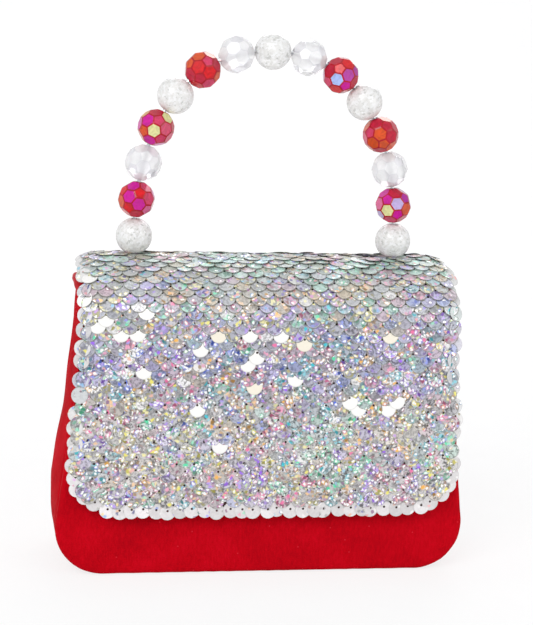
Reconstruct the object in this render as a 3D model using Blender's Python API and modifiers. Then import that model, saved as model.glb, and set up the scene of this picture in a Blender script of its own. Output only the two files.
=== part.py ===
"""A small evening handbag: red cloth body, sequinned flap, strung bead handle.

Front faces -Y, +X is to the right as the front is seen, +Z is up. The origin is on the
ground below the middle of the body. Every size is in metres.
"""

import math

import bmesh
import bpy
import numpy as np
from mathutils import Euler, Matrix, Vector

# Body: two panels joined by one gusset strip, all sizes over the outside
FOOT_WIDTH = 0.1440  # the side lines carried down to the ground
SIDE_TAPER = 0.01145  # each side leans in by this from the ground to the panels' top edge
PANEL_HEIGHT = 0.0882
BODY_DEPTH = 0.0420
FOOT_CORNER = 0.0160
EDGE_ROLL = 0.0020  # the panel cloth rolls back into the seam at this radius
RIM_DEPTH = 0.0030
GUSSET_BULGE = 0.0028
CLOTH = 0.0009
LINING = 0.0006
BOARD = 0.0012
BASE_BOARD = 0.0015
EDGING_RADIUS = 0.0014
HEADROOM = 0.0030  # between the gusset's edging and the underside of the crown
BOARD_INSET = 0.0032
LINING_SLACK = 0.0010  # the side lining hangs this far off the gusset
GAP = 0.0003  # between pieces that touch

# Flap: sequinned cloth, board and lining, from the front hem over the crown to the tail
HEM_HEIGHT = 0.0210
CROWN_RISE = 0.0173  # from the panels' top edge to the highest sequins
FLAP_OVERHANG = 0.00245  # the flap over the crown reaches this far past each side of the mouth
FLAP_FLARE = 0.0045  # each side of the flap widens by this from the crown to the hem
HEM_CORNER = 0.0175
TAIL_NARROWING = 0.0030  # each side of the flap draws in by this from the crown to the tail
TAIL_LENGTH = 0.0120
EDGE_CURL = 0.0020  # how far the side edges droop over the crown
CURL_WIDTH = 0.0075
FLAP_CLEARANCE = 0.0004
SEQUIN_PITCH = 0.00533
ROW_PITCH = 0.0025
SEQUIN_STACK = 0.0015  # cloth and overlapping sequins, to the sequins' tips
SEQUIN_RELIEF = 0.0006
LINING_INSET = 0.0008
FRONT_BOARD_INSET = 0.0060
CROWN_BOARD_REACH = 0.0094  # the crown's board runs on this far past the wire's holes
FOLD_SLACK = 0.0010

# Hidden closure
MAGNET_DIAMETER = 0.0120
MAGNET_RISE = 0.0170  # from the flap's hem up to the magnet's middle

# Handle: beads strung on one wire, knotted off below the crown
BEAD_DIAMETER = 0.0120
BEAD_GAP = 0.0004
HANDLE_SET_IN = 0.01835  # from the flap's side edge to the middle of the base bead
WIRE_DIAMETER = 0.0012
BORE_DIAMETER = 0.0021
WASHER_DIAMETER = 0.0090
WASHER_THICKNESS = 0.0008
WASHER_DROP = 0.0006  # below the lining, for the crown's curve across the washer
CRIMP_DIAMETER = 0.0036
CRIMP_HEIGHT = 0.0040
WIRE_TAIL = 0.0010
BEAD_FACET = 0.0008  # chamfer at the mouths of a round bead's bore
OVERRUN = 0.0020  # how far a cutter runs past what it cuts

# Shares and angles
ARCH_POWER_SHARE = 2.25  # exponent of the handle's arch, 2 is an ellipse
FOLD_START_DEG = 20.0  # the fold takes the flap's curve between these two slopes
FOLD_END_DEG = 70.0
HINGE_DEG = 45.0
TIP_LEAN_SHARE = 0.3  # how far a sequin's tip hangs over the next row, in rows
THIRD_PERCENT = 100.0 / 3.0  # a football's facets cut each edge in three
CURL_SHARES = (0.1, 0.1, 0.4, 1.0, 0.7, 0.1, 0.0)
ARCH_TOP_SHARE = 1.9  # exponent of the gusset's arched top edge
# The gusset's swell, as shares of its bulge, at these shares of the panels' height
SWELL_HEIGHT_SHARES = (0.0, 0.12, 0.22, 0.33, 0.6, 0.95, 1.1)
SWELL_SHARES = (0.0, 0.0, 0.45, 1.0, 0.85, 0.95, 1.3)

# Counts
CURVE_SAMPLES = 241
SIDE_STEPS = 7
CORNER_STEPS = 6
GUSSET_COLUMNS = 5
ROLL_SEGMENTS = 2
CIRCLE_STEPS = 12
BEAD_STEPS = 12
DRILL_STEPS = 8
BEAD_ARC_STEPS = 6
EDGING_STEPS = 10
LAYER_COLUMNS = 12
FRONT_ROWS = 8
FOLD_ROWS = 5
HALVINGS = 40
STRINGING = (
    "crackle", "red", "clear", "red", "crackle",
    "red", "clear", "crackle", "clear", "red",
    "crackle", "red", "clear", "red", "crackle",
)  # fmt: skip
BEAD_TURN_DEG = 137.5  # each bead sits turned a little further on the wire

# Sizes worked out from those above
MOUTH_WIDTH = FOOT_WIDTH - 2 * SIDE_TAPER
FLAP_WIDTH = MOUTH_WIDTH + 2 * FLAP_OVERHANG
HEM_WIDTH = FLAP_WIDTH + 2 * FLAP_FLARE
HANDLE_SPREAD = FLAP_WIDTH - 2 * HANDLE_SET_IN
CROWN_BOARD_INSET = HANDLE_SET_IN - CROWN_BOARD_REACH
MAGNET_HEIGHT = HEM_HEIGHT + MAGNET_RISE
SLOPE_SHARE = (FOOT_WIDTH - MOUTH_WIDTH) / (2 * PANEL_HEIGHT)
SLANT_SHARE = math.hypot(1.0, SLOPE_SHARE)
FLAP_STACK = SEQUIN_STACK + GAP + BOARD + GAP + LINING
TAIL_STACK = SEQUIN_STACK + GAP + LINING
BOARD_DEPTH = SEQUIN_STACK + GAP
LINING_DEPTH = BOARD_DEPTH + BOARD + GAP
FLAP_FRONT_Y = -(BODY_DEPTH / 2 + FLAP_CLEARANCE + FLAP_STACK)
FLAP_BACK_Y = BODY_DEPTH / 2 + GAP + TAIL_STACK
CROWN_HEIGHT = PANEL_HEIGHT + CROWN_RISE
CROWN_UNDERSIDE = CROWN_HEIGHT - FLAP_STACK
GUSSET_HEIGHT = CROWN_UNDERSIDE - HEADROOM - 2 * EDGING_RADIUS - GAP
GUSSET_HALF_DEPTH = BODY_DEPTH / 2 - RIM_DEPTH - GAP
BEAD_PITCH = BEAD_DIAMETER + BEAD_GAP
BASE_BEAD_HEIGHT = CROWN_HEIGHT + GAP + BEAD_DIAMETER / 2


def linear(code):
    """An sRGB hex colour as linear red, green, blue and alpha."""
    values = [int(code[i : i + 2], 16) / 255 for i in (1, 3, 5)]
    return [v / 12.92 if v <= 0.04045 else ((v + 0.055) / 1.055) ** 2.4 for v in values] + [1.0]


FINISHES = {
    "red_cloth": ("#B90616", 0.85, 0.0),
    "red_satin_lining": ("#A80A18", 0.55, 0.0),
    "stiffening_board": ("#C9BFA8", 0.9, 0.0),
    "sequins": ("#BDBDC6", 0.25, 0.8),
    "magnet_steel": ("#9A9CA0", 0.35, 1.0),
    "crackle_bead": ("#EDEBE6", 0.2, 0.0),
    "red_bead": ("#C81030", 0.1, 0.0),
    "clear_bead": ("#E6E9EC", 0.05, 0.0),
    "steel_wire": ("#A7A9AC", 0.3, 1.0),
}


def clear_scene():
    for obj in list(bpy.data.objects):
        bpy.data.objects.remove(obj)


def new_collection(name, hidden=False):
    made = bpy.data.collections.new(name)
    made.hide_render = hidden
    bpy.context.scene.collection.children.link(made)
    return made


clear_scene()
PARTS = new_collection("sequin_handbag")
CUTTERS = new_collection("cutters", hidden=True)
MATERIALS = {}


def material(name, finish):
    """Each piece has its own material, which starts from its finish."""
    colour, roughness, metallic = FINISHES[finish]
    made = bpy.data.materials.new(name)
    made.use_nodes = True
    shader = made.node_tree.nodes["Principled BSDF"]
    shader.inputs["Base Color"].default_value = linear(colour)
    shader.inputs["Roughness"].default_value = roughness
    shader.inputs["Metallic"].default_value = metallic
    return made


def pivot(name, place, parent=None):
    """An empty on a joint's axis, which carries what turns there."""
    made = bpy.data.objects.new(name, None)
    PARTS.objects.link(made)
    made.location = Vector(place) - (Vector(parent["place"]) if parent else Vector())
    made.parent = parent
    made["place"] = tuple(place)
    return made


def add_part(name, mesh, finish, carrier=None, place=(0.0, 0.0, 0.0), turn=None):
    """Links one sub-part. Its mesh is about `place`, and its carrier is a pivot or nothing."""
    made = bpy.data.objects.new(name, mesh)
    PARTS.objects.link(made)
    made.location = Vector(place) - (Vector(carrier["place"]) if carrier else Vector())
    if turn:
        made.rotation_euler = turn
    made.parent = carrier
    if not mesh.materials:
        mesh.materials.append(None)
    made.material_slots[0].link = "OBJECT"
    made.material_slots[0].material = material(name, finish)
    return made


def mesh_of(name, bm, smooth_deg=40.0):
    bmesh.ops.recalc_face_normals(bm, faces=bm.faces)
    mesh = bpy.data.meshes.new(name)
    bm.to_mesh(mesh)
    bm.free()
    mesh.shade_smooth()
    mesh.set_sharp_from_angle(angle=math.radians(smooth_deg))
    return mesh


def grid_faces(rows, columns, start, lattice):
    """Quads of a grid of points, or triangles split along the valleys between raised points."""
    faces = []
    for i in range(rows - 1):
        for j in range(columns - 1):
            a = start + i * columns + j
            b, c, d = a + 1, a + columns + 1, a + columns
            if not lattice:
                faces.append((a, b, c, d))
            elif (i + j) % 2:
                faces += [(a, b, c), (a, c, d)]
            else:
                faces += [(a, b, d), (b, c, d)]
    return faces


def sheet_between(name, outer, inner, finish, carrier=None, lattice=False):
    """A closed sheet whose two sides are grids of points, rows x columns x 3."""
    rows, columns = outer.shape[:2]
    index = np.arange(rows * columns).reshape(rows, columns)
    border = np.concatenate([index[0, :-1], index[:-1, -1], index[-1, :0:-1], index[:0:-1, 0]])
    under = rows * columns
    faces = grid_faces(rows, columns, 0, lattice)
    faces += [face[::-1] for face in grid_faces(rows, columns, under, False)]
    for a, b in zip(border, np.roll(border, -1)):
        faces.append((int(b), int(a), int(a) + under, int(b) + under))
    points = np.concatenate([outer.reshape(-1, 3), inner.reshape(-1, 3)])
    if carrier:
        points = points - np.array(carrier["place"])
    mesh = bpy.data.meshes.new(name)
    mesh.from_pydata(points.tolist(), [], faces)
    bm = bmesh.new()
    bm.from_mesh(mesh)
    bpy.data.meshes.remove(mesh)
    place = tuple(carrier["place"]) if carrier else (0.0, 0.0, 0.0)
    return add_part(name, mesh_of(name, bm), finish, carrier, place)


def cutter_cylinder(name, radius, length, place, turn=(0.0, 0.0, 0.0), steps=CIRCLE_STEPS):
    bm = bmesh.new()
    bmesh.ops.create_cone(
        bm, cap_ends=True, segments=steps, radius1=radius, radius2=radius, depth=length
    )
    made = bpy.data.objects.new(name, mesh_of(name, bm))
    CUTTERS.objects.link(made)
    made.location = place
    made.rotation_euler = turn
    made.display_type = "WIRE"
    made.hide_render = True
    return made


def cut(obj, cutter):
    modifier = obj.modifiers.new(cutter.name, "BOOLEAN")
    modifier.operation = "DIFFERENCE"
    modifier.solver = "EXACT"
    modifier.object = cutter


def side_x(z, inset):
    """How far the slanted side line is from the middle at a height, drawn in by an inset."""
    return FOOT_WIDTH / 2 - inset * SLANT_SHARE - SLOPE_SHARE * z


def half_path(inset, foot, top, side_steps=SIDE_STEPS):
    """The right half of the U from its top down to the middle of the foot.

    A straight slanted side, an arc that touches side and floor, and half the floor.
    Gives x, z and the outward normal of each point; `top` is the height it starts from.
    """
    radius = FOOT_CORNER - max(inset, foot)
    centre_x = side_x(foot, inset) - radius * (SLOPE_SHARE + SLANT_SHARE)
    centre_z = foot + radius
    lean = math.atan(SLOPE_SHARE)
    start_z = centre_z + radius * math.sin(lean)
    share = np.linspace(0.0, 1.0, side_steps + 1)
    z = top + (start_z - top) * share
    x = side_x(z, inset)
    normal = np.tile([math.cos(lean), math.sin(lean)], (side_steps + 1, 1))
    angle = np.linspace(lean, -math.pi / 2, CORNER_STEPS + 1)[1:]
    arc = np.stack([np.cos(angle), np.sin(angle)], axis=1)
    x = np.concatenate([x, centre_x + radius * arc[:, 0], [0.0]])
    z = np.concatenate([z, centre_z + radius * arc[:, 1], [foot]])
    return x, z, np.concatenate([normal, arc, [[0.0, -1.0]]])


def outline(inset, foot, top):
    """The closed outline of a panel as (x, z) points."""
    x, z, _ = half_path(inset, foot, top)
    right = list(zip(x[:-1], z[:-1]))
    return right + [(-px, pz) for px, pz in reversed(right)]


def panel(name, facing):
    """A cloth panel: its outline filled, the edge rolled back to the seam, with a wall."""
    bm = bmesh.new()
    face_y = facing * BODY_DEPTH / 2
    points = outline(0.0, 0.0, PANEL_HEIGHT)
    face = bm.faces.new([bm.verts.new((x, face_y, z)) for x, z in points])
    edges = face.edges[:]
    rim = bmesh.ops.extrude_edge_only(bm, edges=edges)
    for item in rim["geom"]:
        if isinstance(item, bmesh.types.BMVert):
            item.co.y -= facing * RIM_DEPTH
    bmesh.ops.recalc_face_normals(bm, faces=bm.faces)
    if face.normal.y * facing < 0:
        bmesh.ops.reverse_faces(bm, faces=bm.faces)
    bmesh.ops.bevel(
        bm, geom=edges, offset=EDGE_ROLL, segments=ROLL_SEGMENTS, profile=0.5, affect="EDGES"
    )
    mesh = bpy.data.meshes.new(name)
    bm.to_mesh(mesh)
    bm.free()
    mesh.shade_smooth()
    mesh.set_sharp_from_angle(angle=math.radians(40.0))
    made = add_part(name, mesh, "red_cloth")
    wall = made.modifiers.new("wall", "SOLIDIFY")
    wall.thickness = CLOTH
    wall.offset = -1.0
    wall.use_even_offset = True
    return made


def flat_plate(name, near_y, thickness, inset, foot, top, finish):
    """A flat sheet cut to the panel's outline drawn in, filling from `near_y` towards +Y."""
    bm = bmesh.new()
    ring = [bm.verts.new((x, near_y, z)) for x, z in outline(inset, foot, top)]
    face = bm.faces.new(ring)
    raised = bmesh.ops.extrude_face_region(bm, geom=[face])
    for item in raised["geom"]:
        if isinstance(item, bmesh.types.BMVert):
            item.co.y += thickness
    return add_part(name, mesh_of(name, bm), finish)


def gusset_arch(y):
    """Height of the gusset's top edge at a depth: it rises from the panels to the middle."""
    share = np.abs(y) / GUSSET_HALF_DEPTH
    rise = GUSSET_HEIGHT - PANEL_HEIGHT
    return PANEL_HEIGHT + rise * (1.0 - share**ARCH_TOP_SHARE)


def gusset_swell(y, z):
    """How far the gusset stands out between the panels: the sides swell, the foot is flat."""
    across = np.cos(math.pi / 2 * y / GUSSET_HALF_DEPTH)
    return GUSSET_BULGE * np.interp(z / PANEL_HEIGHT, SWELL_HEIGHT_SHARES, SWELL_SHARES) * across


def gusset_grid(inset, foot, half_depth, drop):
    """Points down one side, under the foot and up the other, for each column across the depth."""
    columns = []
    for y in np.linspace(-half_depth, half_depth, GUSSET_COLUMNS):
        x, z, normal = half_path(inset, foot, float(gusset_arch(y)) - drop)
        x = x + gusset_swell(y, z) * normal[:, 0]
        right = np.stack([x, np.full_like(x, y), z], axis=1)
        left = right[-2::-1] * [-1.0, 1.0, 1.0]
        columns.append(np.concatenate([right, left]))
    return np.stack(columns, axis=1)


def gusset_strip(name, inset, foot, thickness, half_depth, drop, finish):
    outer = gusset_grid(inset, foot, half_depth, drop)
    inner = gusset_grid(inset + thickness, foot + thickness, half_depth, drop)
    return sheet_between(name, outer, inner, finish)


def tube(name, points, radius, finish, carrier=None):
    """A round cord through the points, as a curve with a bevel and filled caps."""
    origin = Vector(carrier["place"]) if carrier else Vector()
    curve = bpy.data.curves.new(name, "CURVE")
    curve.dimensions = "3D"
    curve.bevel_depth = radius
    curve.bevel_resolution = 2
    curve.use_fill_caps = True
    spline = curve.splines.new("POLY")
    spline.points.add(len(points) - 1)
    for target, point in zip(spline.points, points):
        target.co = (*(Vector(point) - origin), 1.0)
    curve.materials.append(material(name, finish))
    made = bpy.data.objects.new(name, curve)
    PARTS.objects.link(made)
    made.parent = carrier
    return made


def gusset_edging(name, side):
    """The rolled edge along the gusset's arched top."""
    y = np.linspace(-GUSSET_HALF_DEPTH, GUSSET_HALF_DEPTH, EDGING_STEPS + 1)
    z = gusset_arch(y)
    slope = np.gradient(z, y)
    length = np.hypot(1.0, slope)
    lift = EDGING_RADIUS + GAP
    x = side_x(z, CLOTH / 2) + gusset_swell(y, z)
    points = np.stack([side * x, y - lift * slope / length, z + lift / length], axis=1)
    inside = np.abs(points[:, 1]) < GUSSET_HALF_DEPTH
    return tube(name, points[inside].tolist(), EDGING_RADIUS, "red_cloth")


def flap_curve():
    """The flap's outer face seen from the side, from the front hem to the tail's end.

    A straight front, a quarter ellipse up to the crown, another down the back, and a
    straight tail. Gives length along it, y, z, and the outward normal in y and z.
    """
    turn = np.linspace(0.0, math.pi / 2, CURVE_SAMPLES)
    step = np.linspace(0.0, 1.0, CURVE_SAMPLES)
    y = np.concatenate(
        [
            np.full(CURVE_SAMPLES, FLAP_FRONT_Y)[:-1],
            FLAP_FRONT_Y * np.cos(turn),
            FLAP_BACK_Y * np.sin(turn)[1:],
            np.full(CURVE_SAMPLES, FLAP_BACK_Y)[1:],
        ]
    )
    z = np.concatenate(
        [
            HEM_HEIGHT + (PANEL_HEIGHT - HEM_HEIGHT) * step[:-1],
            PANEL_HEIGHT + CROWN_RISE * np.sin(turn),
            PANEL_HEIGHT + CROWN_RISE * np.cos(turn)[1:],
            PANEL_HEIGHT - TAIL_LENGTH * step[1:],
        ]
    )
    normal_y = np.concatenate(
        [
            -np.ones(CURVE_SAMPLES - 1),
            np.cos(turn) / FLAP_FRONT_Y,
            (np.sin(turn) / FLAP_BACK_Y)[1:],
            np.ones(CURVE_SAMPLES - 1),
        ]
    )
    normal_z = np.concatenate(
        [
            np.zeros(CURVE_SAMPLES - 1),
            np.sin(turn) / CROWN_RISE,
            (np.cos(turn) / CROWN_RISE)[1:],
            np.zeros(CURVE_SAMPLES - 1),
        ]
    )
    size = np.hypot(normal_y, normal_z)
    length = np.concatenate([[0.0], np.cumsum(np.hypot(np.diff(y), np.diff(z)))])
    return length, y, z, normal_y / size, normal_z / size


CURVE = flap_curve()
FLAP_LENGTH = float(CURVE[0][-1])
FRONT_LENGTH = PANEL_HEIGHT - HEM_HEIGHT


def flap_station(slope_deg):
    """Length along the flap where its outward normal has turned this far from the front."""
    turned = np.degrees(np.arctan2(CURVE[4], -CURVE[3]))
    return float(np.interp(slope_deg, turned, CURVE[0]))


def flap_at(s, depth):
    """y and z of a point at a length along the flap and a depth under its outer face."""
    length, y, z, normal_y, normal_z = CURVE
    inward_y = np.interp(s, length, normal_y)
    inward_z = np.interp(s, length, normal_z)
    before = np.minimum(s, 0.0)
    return np.interp(s, length, y) - depth * inward_y, np.interp(s, length, z) + before - depth * inward_z


def full_half_width(s):
    """Half the flap's width: the front flares to the hem and the back draws in to the tail."""
    flare = (HEM_WIDTH - FLAP_WIDTH) / 2 * (1.0 - np.clip(s / FRONT_LENGTH, 0.0, 1.0))
    past_crown = (s - flap_station(90.0)) / (FLAP_LENGTH - TAIL_LENGTH - flap_station(90.0))
    return FLAP_WIDTH / 2 + flare - TAIL_NARROWING * np.clip(past_crown, 0.0, 1.0)


def layer_half_width(s, inset):
    """Half the width of a layer drawn in by an inset, with round corners at the hem."""
    radius = HEM_CORNER - inset
    below = np.clip(radius - (s - inset), 0.0, radius)
    return full_half_width(s) - inset - (radius - np.sqrt(radius**2 - below**2))


def edge_curl(s, x):
    """How far the flap's side edges droop under its smooth curve: most over the crown."""
    stops = [
        0.0,
        FRONT_LENGTH / 2,
        FRONT_LENGTH,
        flap_station(FOLD_END_DEG),
        flap_station(180.0 - FOLD_END_DEG),
        FLAP_LENGTH - TAIL_LENGTH,
        FLAP_LENGTH,
    ]
    amount = EDGE_CURL * np.interp(s, stops, CURL_SHARES)
    beyond = np.abs(x) - (full_half_width(s) - CURL_WIDTH)
    return amount * np.clip(beyond / CURL_WIDTH, 0.0, None) ** 2


def flap_grid(s, shares, depth, inset):
    """Points of one face of a flap layer, for each length and each share of the half width."""
    s = np.broadcast_to(s[:, None] if s.ndim == 1 else s, (len(s), len(shares)))
    x = layer_half_width(np.maximum(s, inset), inset) * shares[None, :]
    y, z = flap_at(s, depth + edge_curl(s, x))
    return np.stack([x, y, z], axis=2)


def flap_layer(name, start, end, depth, thickness, inset, rows, finish, carrier):
    """A plain layer of the flap: board or lining. `depth` may change along it."""
    s = np.linspace(start, end, rows + 1)
    shares = np.linspace(-1.0, 1.0, LAYER_COLUMNS + 1)
    shares = np.sign(shares) * (1.0 - (1.0 - np.abs(shares)) ** 1.5)
    depth = np.broadcast_to(depth, s.shape)[:, None]
    outer = flap_grid(s, shares, depth, inset)
    inner = flap_grid(s, shares, depth + thickness, inset)
    return sheet_between(name, outer, inner, finish, carrier)


def sequin_rows(name, start, end, hem, carrier):
    """Sequinned cloth: rows of raised scale tips, each row shifted half a sequin on the next.

    Tips stand out by the relief and lean over the row below; between them the cloth is lower.
    """
    count = max(2, round((end - start) / ROW_PITCH))
    columns = 2 * round(FLAP_WIDTH / SEQUIN_PITCH)
    s = np.linspace(start, end, count + 1)
    shares = np.linspace(-1.0, 1.0, columns + 1)
    tips = (np.arange(count + 1)[:, None] + np.arange(columns + 1)[None, :]) % 2 == 0
    lean = np.full(count + 1, TIP_LEAN_SHARE * ROW_PITCH)
    lean[-1] = 0.0
    lean[0] *= hem
    flat = np.broadcast_to(s[:, None], tips.shape)
    leaning = flat - np.where(tips, lean[:, None], 0.0)
    outer = flap_grid(leaning, shares, np.where(tips, 0.0, SEQUIN_RELIEF), 0.0)
    inner = flap_grid(leaning if hem else flat, shares, np.full(tips.shape, SEQUIN_STACK), 0.0)
    return sheet_between(name, outer, inner, "sequins", carrier, lattice=True)


def handle_arch():
    """Centres and wire directions of the beads, one pitch apart along the arch.

    The arch is a superellipse on the spread of the two base beads. Its rise is the one that
    makes its length a whole number of pitches, found by halving.
    """
    turn = np.linspace(0.0, math.pi, CURVE_SAMPLES * 4)
    power = 2.0 / ARCH_POWER_SHARE
    across = -np.sign(np.cos(turn)) * np.abs(np.cos(turn)) ** power * HANDLE_SPREAD / 2
    wanted = (len(STRINGING) - 1) * BEAD_PITCH
    low, high = 0.0, wanted
    for _ in range(HALVINGS):
        rise = (low + high) / 2
        up = np.sin(turn).clip(0.0) ** power * rise
        length = np.concatenate([[0.0], np.cumsum(np.hypot(np.diff(across), np.diff(up)))])
        if length[-1] > wanted:
            high = rise
        else:
            low = rise
    stations = np.linspace(0.0, length[-1], len(STRINGING))
    reach = BEAD_DIAMETER / 4
    centres = np.stack([np.interp(stations, length, across), np.interp(stations, length, up)], 1)
    after = np.stack([np.interp(stations + reach, length, v) for v in (across, up)], 1)
    before = np.stack([np.interp(stations - reach, length, v) for v in (across, up)], 1)
    direction = after - before
    direction[0] = (0.0, 1.0)
    direction[-1] = (0.0, -1.0)
    direction /= np.linalg.norm(direction, axis=1)[:, None]
    return centres + [0.0, BASE_BEAD_HEIGHT], direction


def ring_profile(name, points):
    """A closed profile in the XZ plane, for a Screw modifier."""
    mesh = bpy.data.meshes.new(name)
    count = len(points)
    corners = [(x, 0.0, z) for x, z in points]
    mesh.from_pydata(corners, [(i, (i + 1) % count) for i in range(count)], [])
    return mesh


def turned(name, points, finish, carrier, place, steps=CIRCLE_STEPS):
    """A turned ring: the profile runs down its outer side and back up its bore."""
    made = add_part(name, ring_profile(name, points), finish, carrier, place)
    spin = made.modifiers.new("spin", "SCREW")
    spin.steps = steps
    spin.render_steps = steps
    spin.use_merge_vertices = False
    return made


def realised(obj):
    """The evaluated mesh of a helper object, which is then removed."""
    bpy.context.view_layer.update()
    graph = bpy.context.evaluated_depsgraph_get()
    mesh = bpy.data.meshes.new_from_object(obj.evaluated_get(graph), depsgraph=graph)
    bpy.data.objects.remove(obj)
    return mesh


def round_bead_mesh():
    """A ball with a bore and chamfered bore mouths, for the crackle beads."""
    radius = BEAD_DIAMETER / 2
    mouth = BORE_DIAMETER / 2 + BEAD_FACET
    first = math.asin(mouth / radius)
    angle = np.linspace(first, math.pi - first, BEAD_ARC_STEPS + 1)
    points = [(radius * math.sin(a), radius * math.cos(a)) for a in angle]
    neck = radius * math.cos(first) - BEAD_FACET / 2
    points += [(BORE_DIAMETER / 2, -neck), (BORE_DIAMETER / 2, neck)]
    helper = turned("round_bead", points, "crackle_bead", None, (0.0, 0.0, 0.0), BEAD_STEPS)
    mesh = realised(helper)
    mesh.name = "round_bead"
    return mesh


def faceted_bead_mesh():
    """A bead with football facets: an icosahedron with every corner cut off, then bored."""
    bm = bmesh.new()
    bmesh.ops.create_icosphere(bm, subdivisions=1, radius=BEAD_DIAMETER / 2)
    bmesh.ops.bevel(
        bm, geom=bm.verts[:], offset=THIRD_PERCENT, offset_type="PERCENT", affect="VERTICES"
    )
    reach = max(v.co.length for v in bm.verts)
    bmesh.ops.scale(bm, vec=Vector((1, 1, 1)) * (BEAD_DIAMETER / 2 / reach), verts=bm.verts)
    bmesh.ops.recalc_face_normals(bm, faces=bm.faces)
    mesh = bpy.data.meshes.new("faceted_bead")
    bm.to_mesh(mesh)
    bm.free()
    helper = bpy.data.objects.new("faceted_bead", mesh)
    PARTS.objects.link(helper)
    drill = cutter_cylinder(
        "bead_drill", BORE_DIAMETER / 2, BEAD_DIAMETER + 2 * OVERRUN, (0, 0, 0), steps=DRILL_STEPS
    )
    cut(helper, drill)
    return realised(helper)


def build_body():
    front_y = -BODY_DEPTH / 2
    panel("front_panel", -1)
    panel("back_panel", 1)
    gusset_strip("gusset", 0.0, 0.0, CLOTH, GUSSET_HALF_DEPTH, 0.0, "red_cloth")
    gusset_edging("left_gusset_edging", -1)
    gusset_edging("right_gusset_edging", 1)

    board_y = CLOTH + GAP
    lining_y = board_y + BOARD + GAP
    top = PANEL_HEIGHT - BOARD_INSET
    stiffener = flat_plate(
        "front_stiffener", front_y + board_y, BOARD, BOARD_INSET, BOARD_INSET, top, "stiffening_board"
    )
    flat_plate(
        "back_stiffener", -front_y - board_y - BOARD, BOARD, BOARD_INSET, BOARD_INSET, top, "stiffening_board"
    )
    flat_plate(
        "front_lining", front_y + lining_y, LINING, BOARD_INSET, BOARD_INSET, top, "red_satin_lining"
    )
    flat_plate(
        "back_lining", -front_y - lining_y - LINING, LINING, BOARD_INSET, BOARD_INSET, top, "red_satin_lining"
    )

    lining_half_depth = -front_y - lining_y - LINING - GAP
    side_inset = CLOTH + LINING_SLACK
    floor = CLOTH + GAP + BASE_BOARD + GAP
    gusset_strip(
        "gusset_lining", side_inset, floor, LINING, lining_half_depth, GAP, "red_satin_lining"
    )
    half_length = side_x(0.0, 0.0) - FOOT_CORNER * (SLOPE_SHARE + SLANT_SHARE)
    bm = bmesh.new()
    bmesh.ops.create_cube(bm, size=1.0)
    bmesh.ops.scale(
        bm, vec=(2 * half_length, 2 * lining_half_depth, BASE_BOARD), verts=bm.verts
    )
    place = (0.0, 0.0, CLOTH + GAP + BASE_BOARD / 2)
    board = add_part("base_board", mesh_of("base_board", bm), "stiffening_board", None, place)
    corner = board.modifiers.new("corners", "BEVEL")
    corner.width = BASE_BOARD
    corner.segments = 2
    corner.limit_method = "ANGLE"
    return stiffener


def magnet(name, y, carrier=None):
    bm = bmesh.new()
    radius = MAGNET_DIAMETER / 2
    bmesh.ops.create_cone(
        bm, cap_ends=True, segments=2 * CIRCLE_STEPS, radius1=radius, radius2=radius, depth=BOARD
    )
    bmesh.ops.rotate(bm, cent=(0, 0, 0), matrix=Matrix.Rotation(math.pi / 2, 3, "X"), verts=bm.verts)
    place = (0.0, y + BOARD / 2, MAGNET_HEIGHT)
    return add_part(name, mesh_of(name, bm), "magnet_steel", carrier, place)


def build_flap(crown_pivot, front_pivot):
    """The flap's layers in five lengths: tail, back fold, crown, front fold and front."""
    front_end = flap_station(FOLD_START_DEG)
    crown_start = flap_station(FOLD_END_DEG)
    crown_end = flap_station(180.0 - FOLD_END_DEG)
    tail_start = flap_station(180.0 - FOLD_START_DEG)
    lap = GAP / 2

    sequin_rows("front_sequins", 0.0, front_end - lap, 1, front_pivot)
    sequin_rows("front_fold_sequins", front_end + lap, crown_start - lap, 0, front_pivot)
    crown = sequin_rows("crown_sequins", crown_start + lap, crown_end - lap, 0, crown_pivot)
    sequin_rows("back_fold_sequins", crown_end + lap, tail_start - lap, 0, crown_pivot)
    sequin_rows("tail_sequins", tail_start + lap, FLAP_LENGTH, 0, None)

    front_board = flap_layer(
        "front_flap_board", FRONT_BOARD_INSET, front_end - FOLD_SLACK, BOARD_DEPTH, BOARD,
        FRONT_BOARD_INSET, FRONT_ROWS, "stiffening_board", front_pivot,
    )  # fmt: skip
    crown_board = flap_layer(
        "crown_board", crown_start + FOLD_SLACK, crown_end - FOLD_SLACK, BOARD_DEPTH, BOARD,
        CROWN_BOARD_INSET, FOLD_ROWS, "stiffening_board", crown_pivot,
    )  # fmt: skip
    flap_layer(
        "front_flap_lining", LINING_INSET, front_end - lap, LINING_DEPTH, LINING,
        LINING_INSET, FRONT_ROWS, "red_cloth", front_pivot,
    )  # fmt: skip
    flap_layer(
        "front_fold_lining", front_end + lap, crown_start - lap, LINING_DEPTH, LINING,
        LINING_INSET, FOLD_ROWS, "red_cloth", front_pivot,
    )  # fmt: skip
    crown_lining = flap_layer(
        "crown_lining", crown_start + lap, crown_end - lap, LINING_DEPTH, LINING,
        LINING_INSET, FOLD_ROWS, "red_cloth", crown_pivot,
    )  # fmt: skip
    flap_layer(
        "back_fold_lining", crown_end + lap, tail_start - lap,
        np.linspace(LINING_DEPTH, BOARD_DEPTH, FOLD_ROWS + 1), LINING,
        LINING_INSET, FOLD_ROWS, "red_cloth", crown_pivot,
    )  # fmt: skip
    flap_layer(
        "tail_lining", tail_start + lap, FLAP_LENGTH - LINING_INSET, BOARD_DEPTH, LINING,
        LINING_INSET, FOLD_ROWS, "red_cloth", None,
    )  # fmt: skip

    for side, label in ((-1, "left"), (1, "right")):
        hole = cutter_cylinder(
            f"{label}_wire_hole", BORE_DIAMETER / 2, 2 * (FLAP_STACK + OVERRUN),
            (side * HANDLE_SPREAD / 2, 0.0, CROWN_HEIGHT - FLAP_STACK / 2),
        )  # fmt: skip
        for layer in (crown, crown_board, crown_lining):
            cut(layer, hole)
    return front_board


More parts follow.
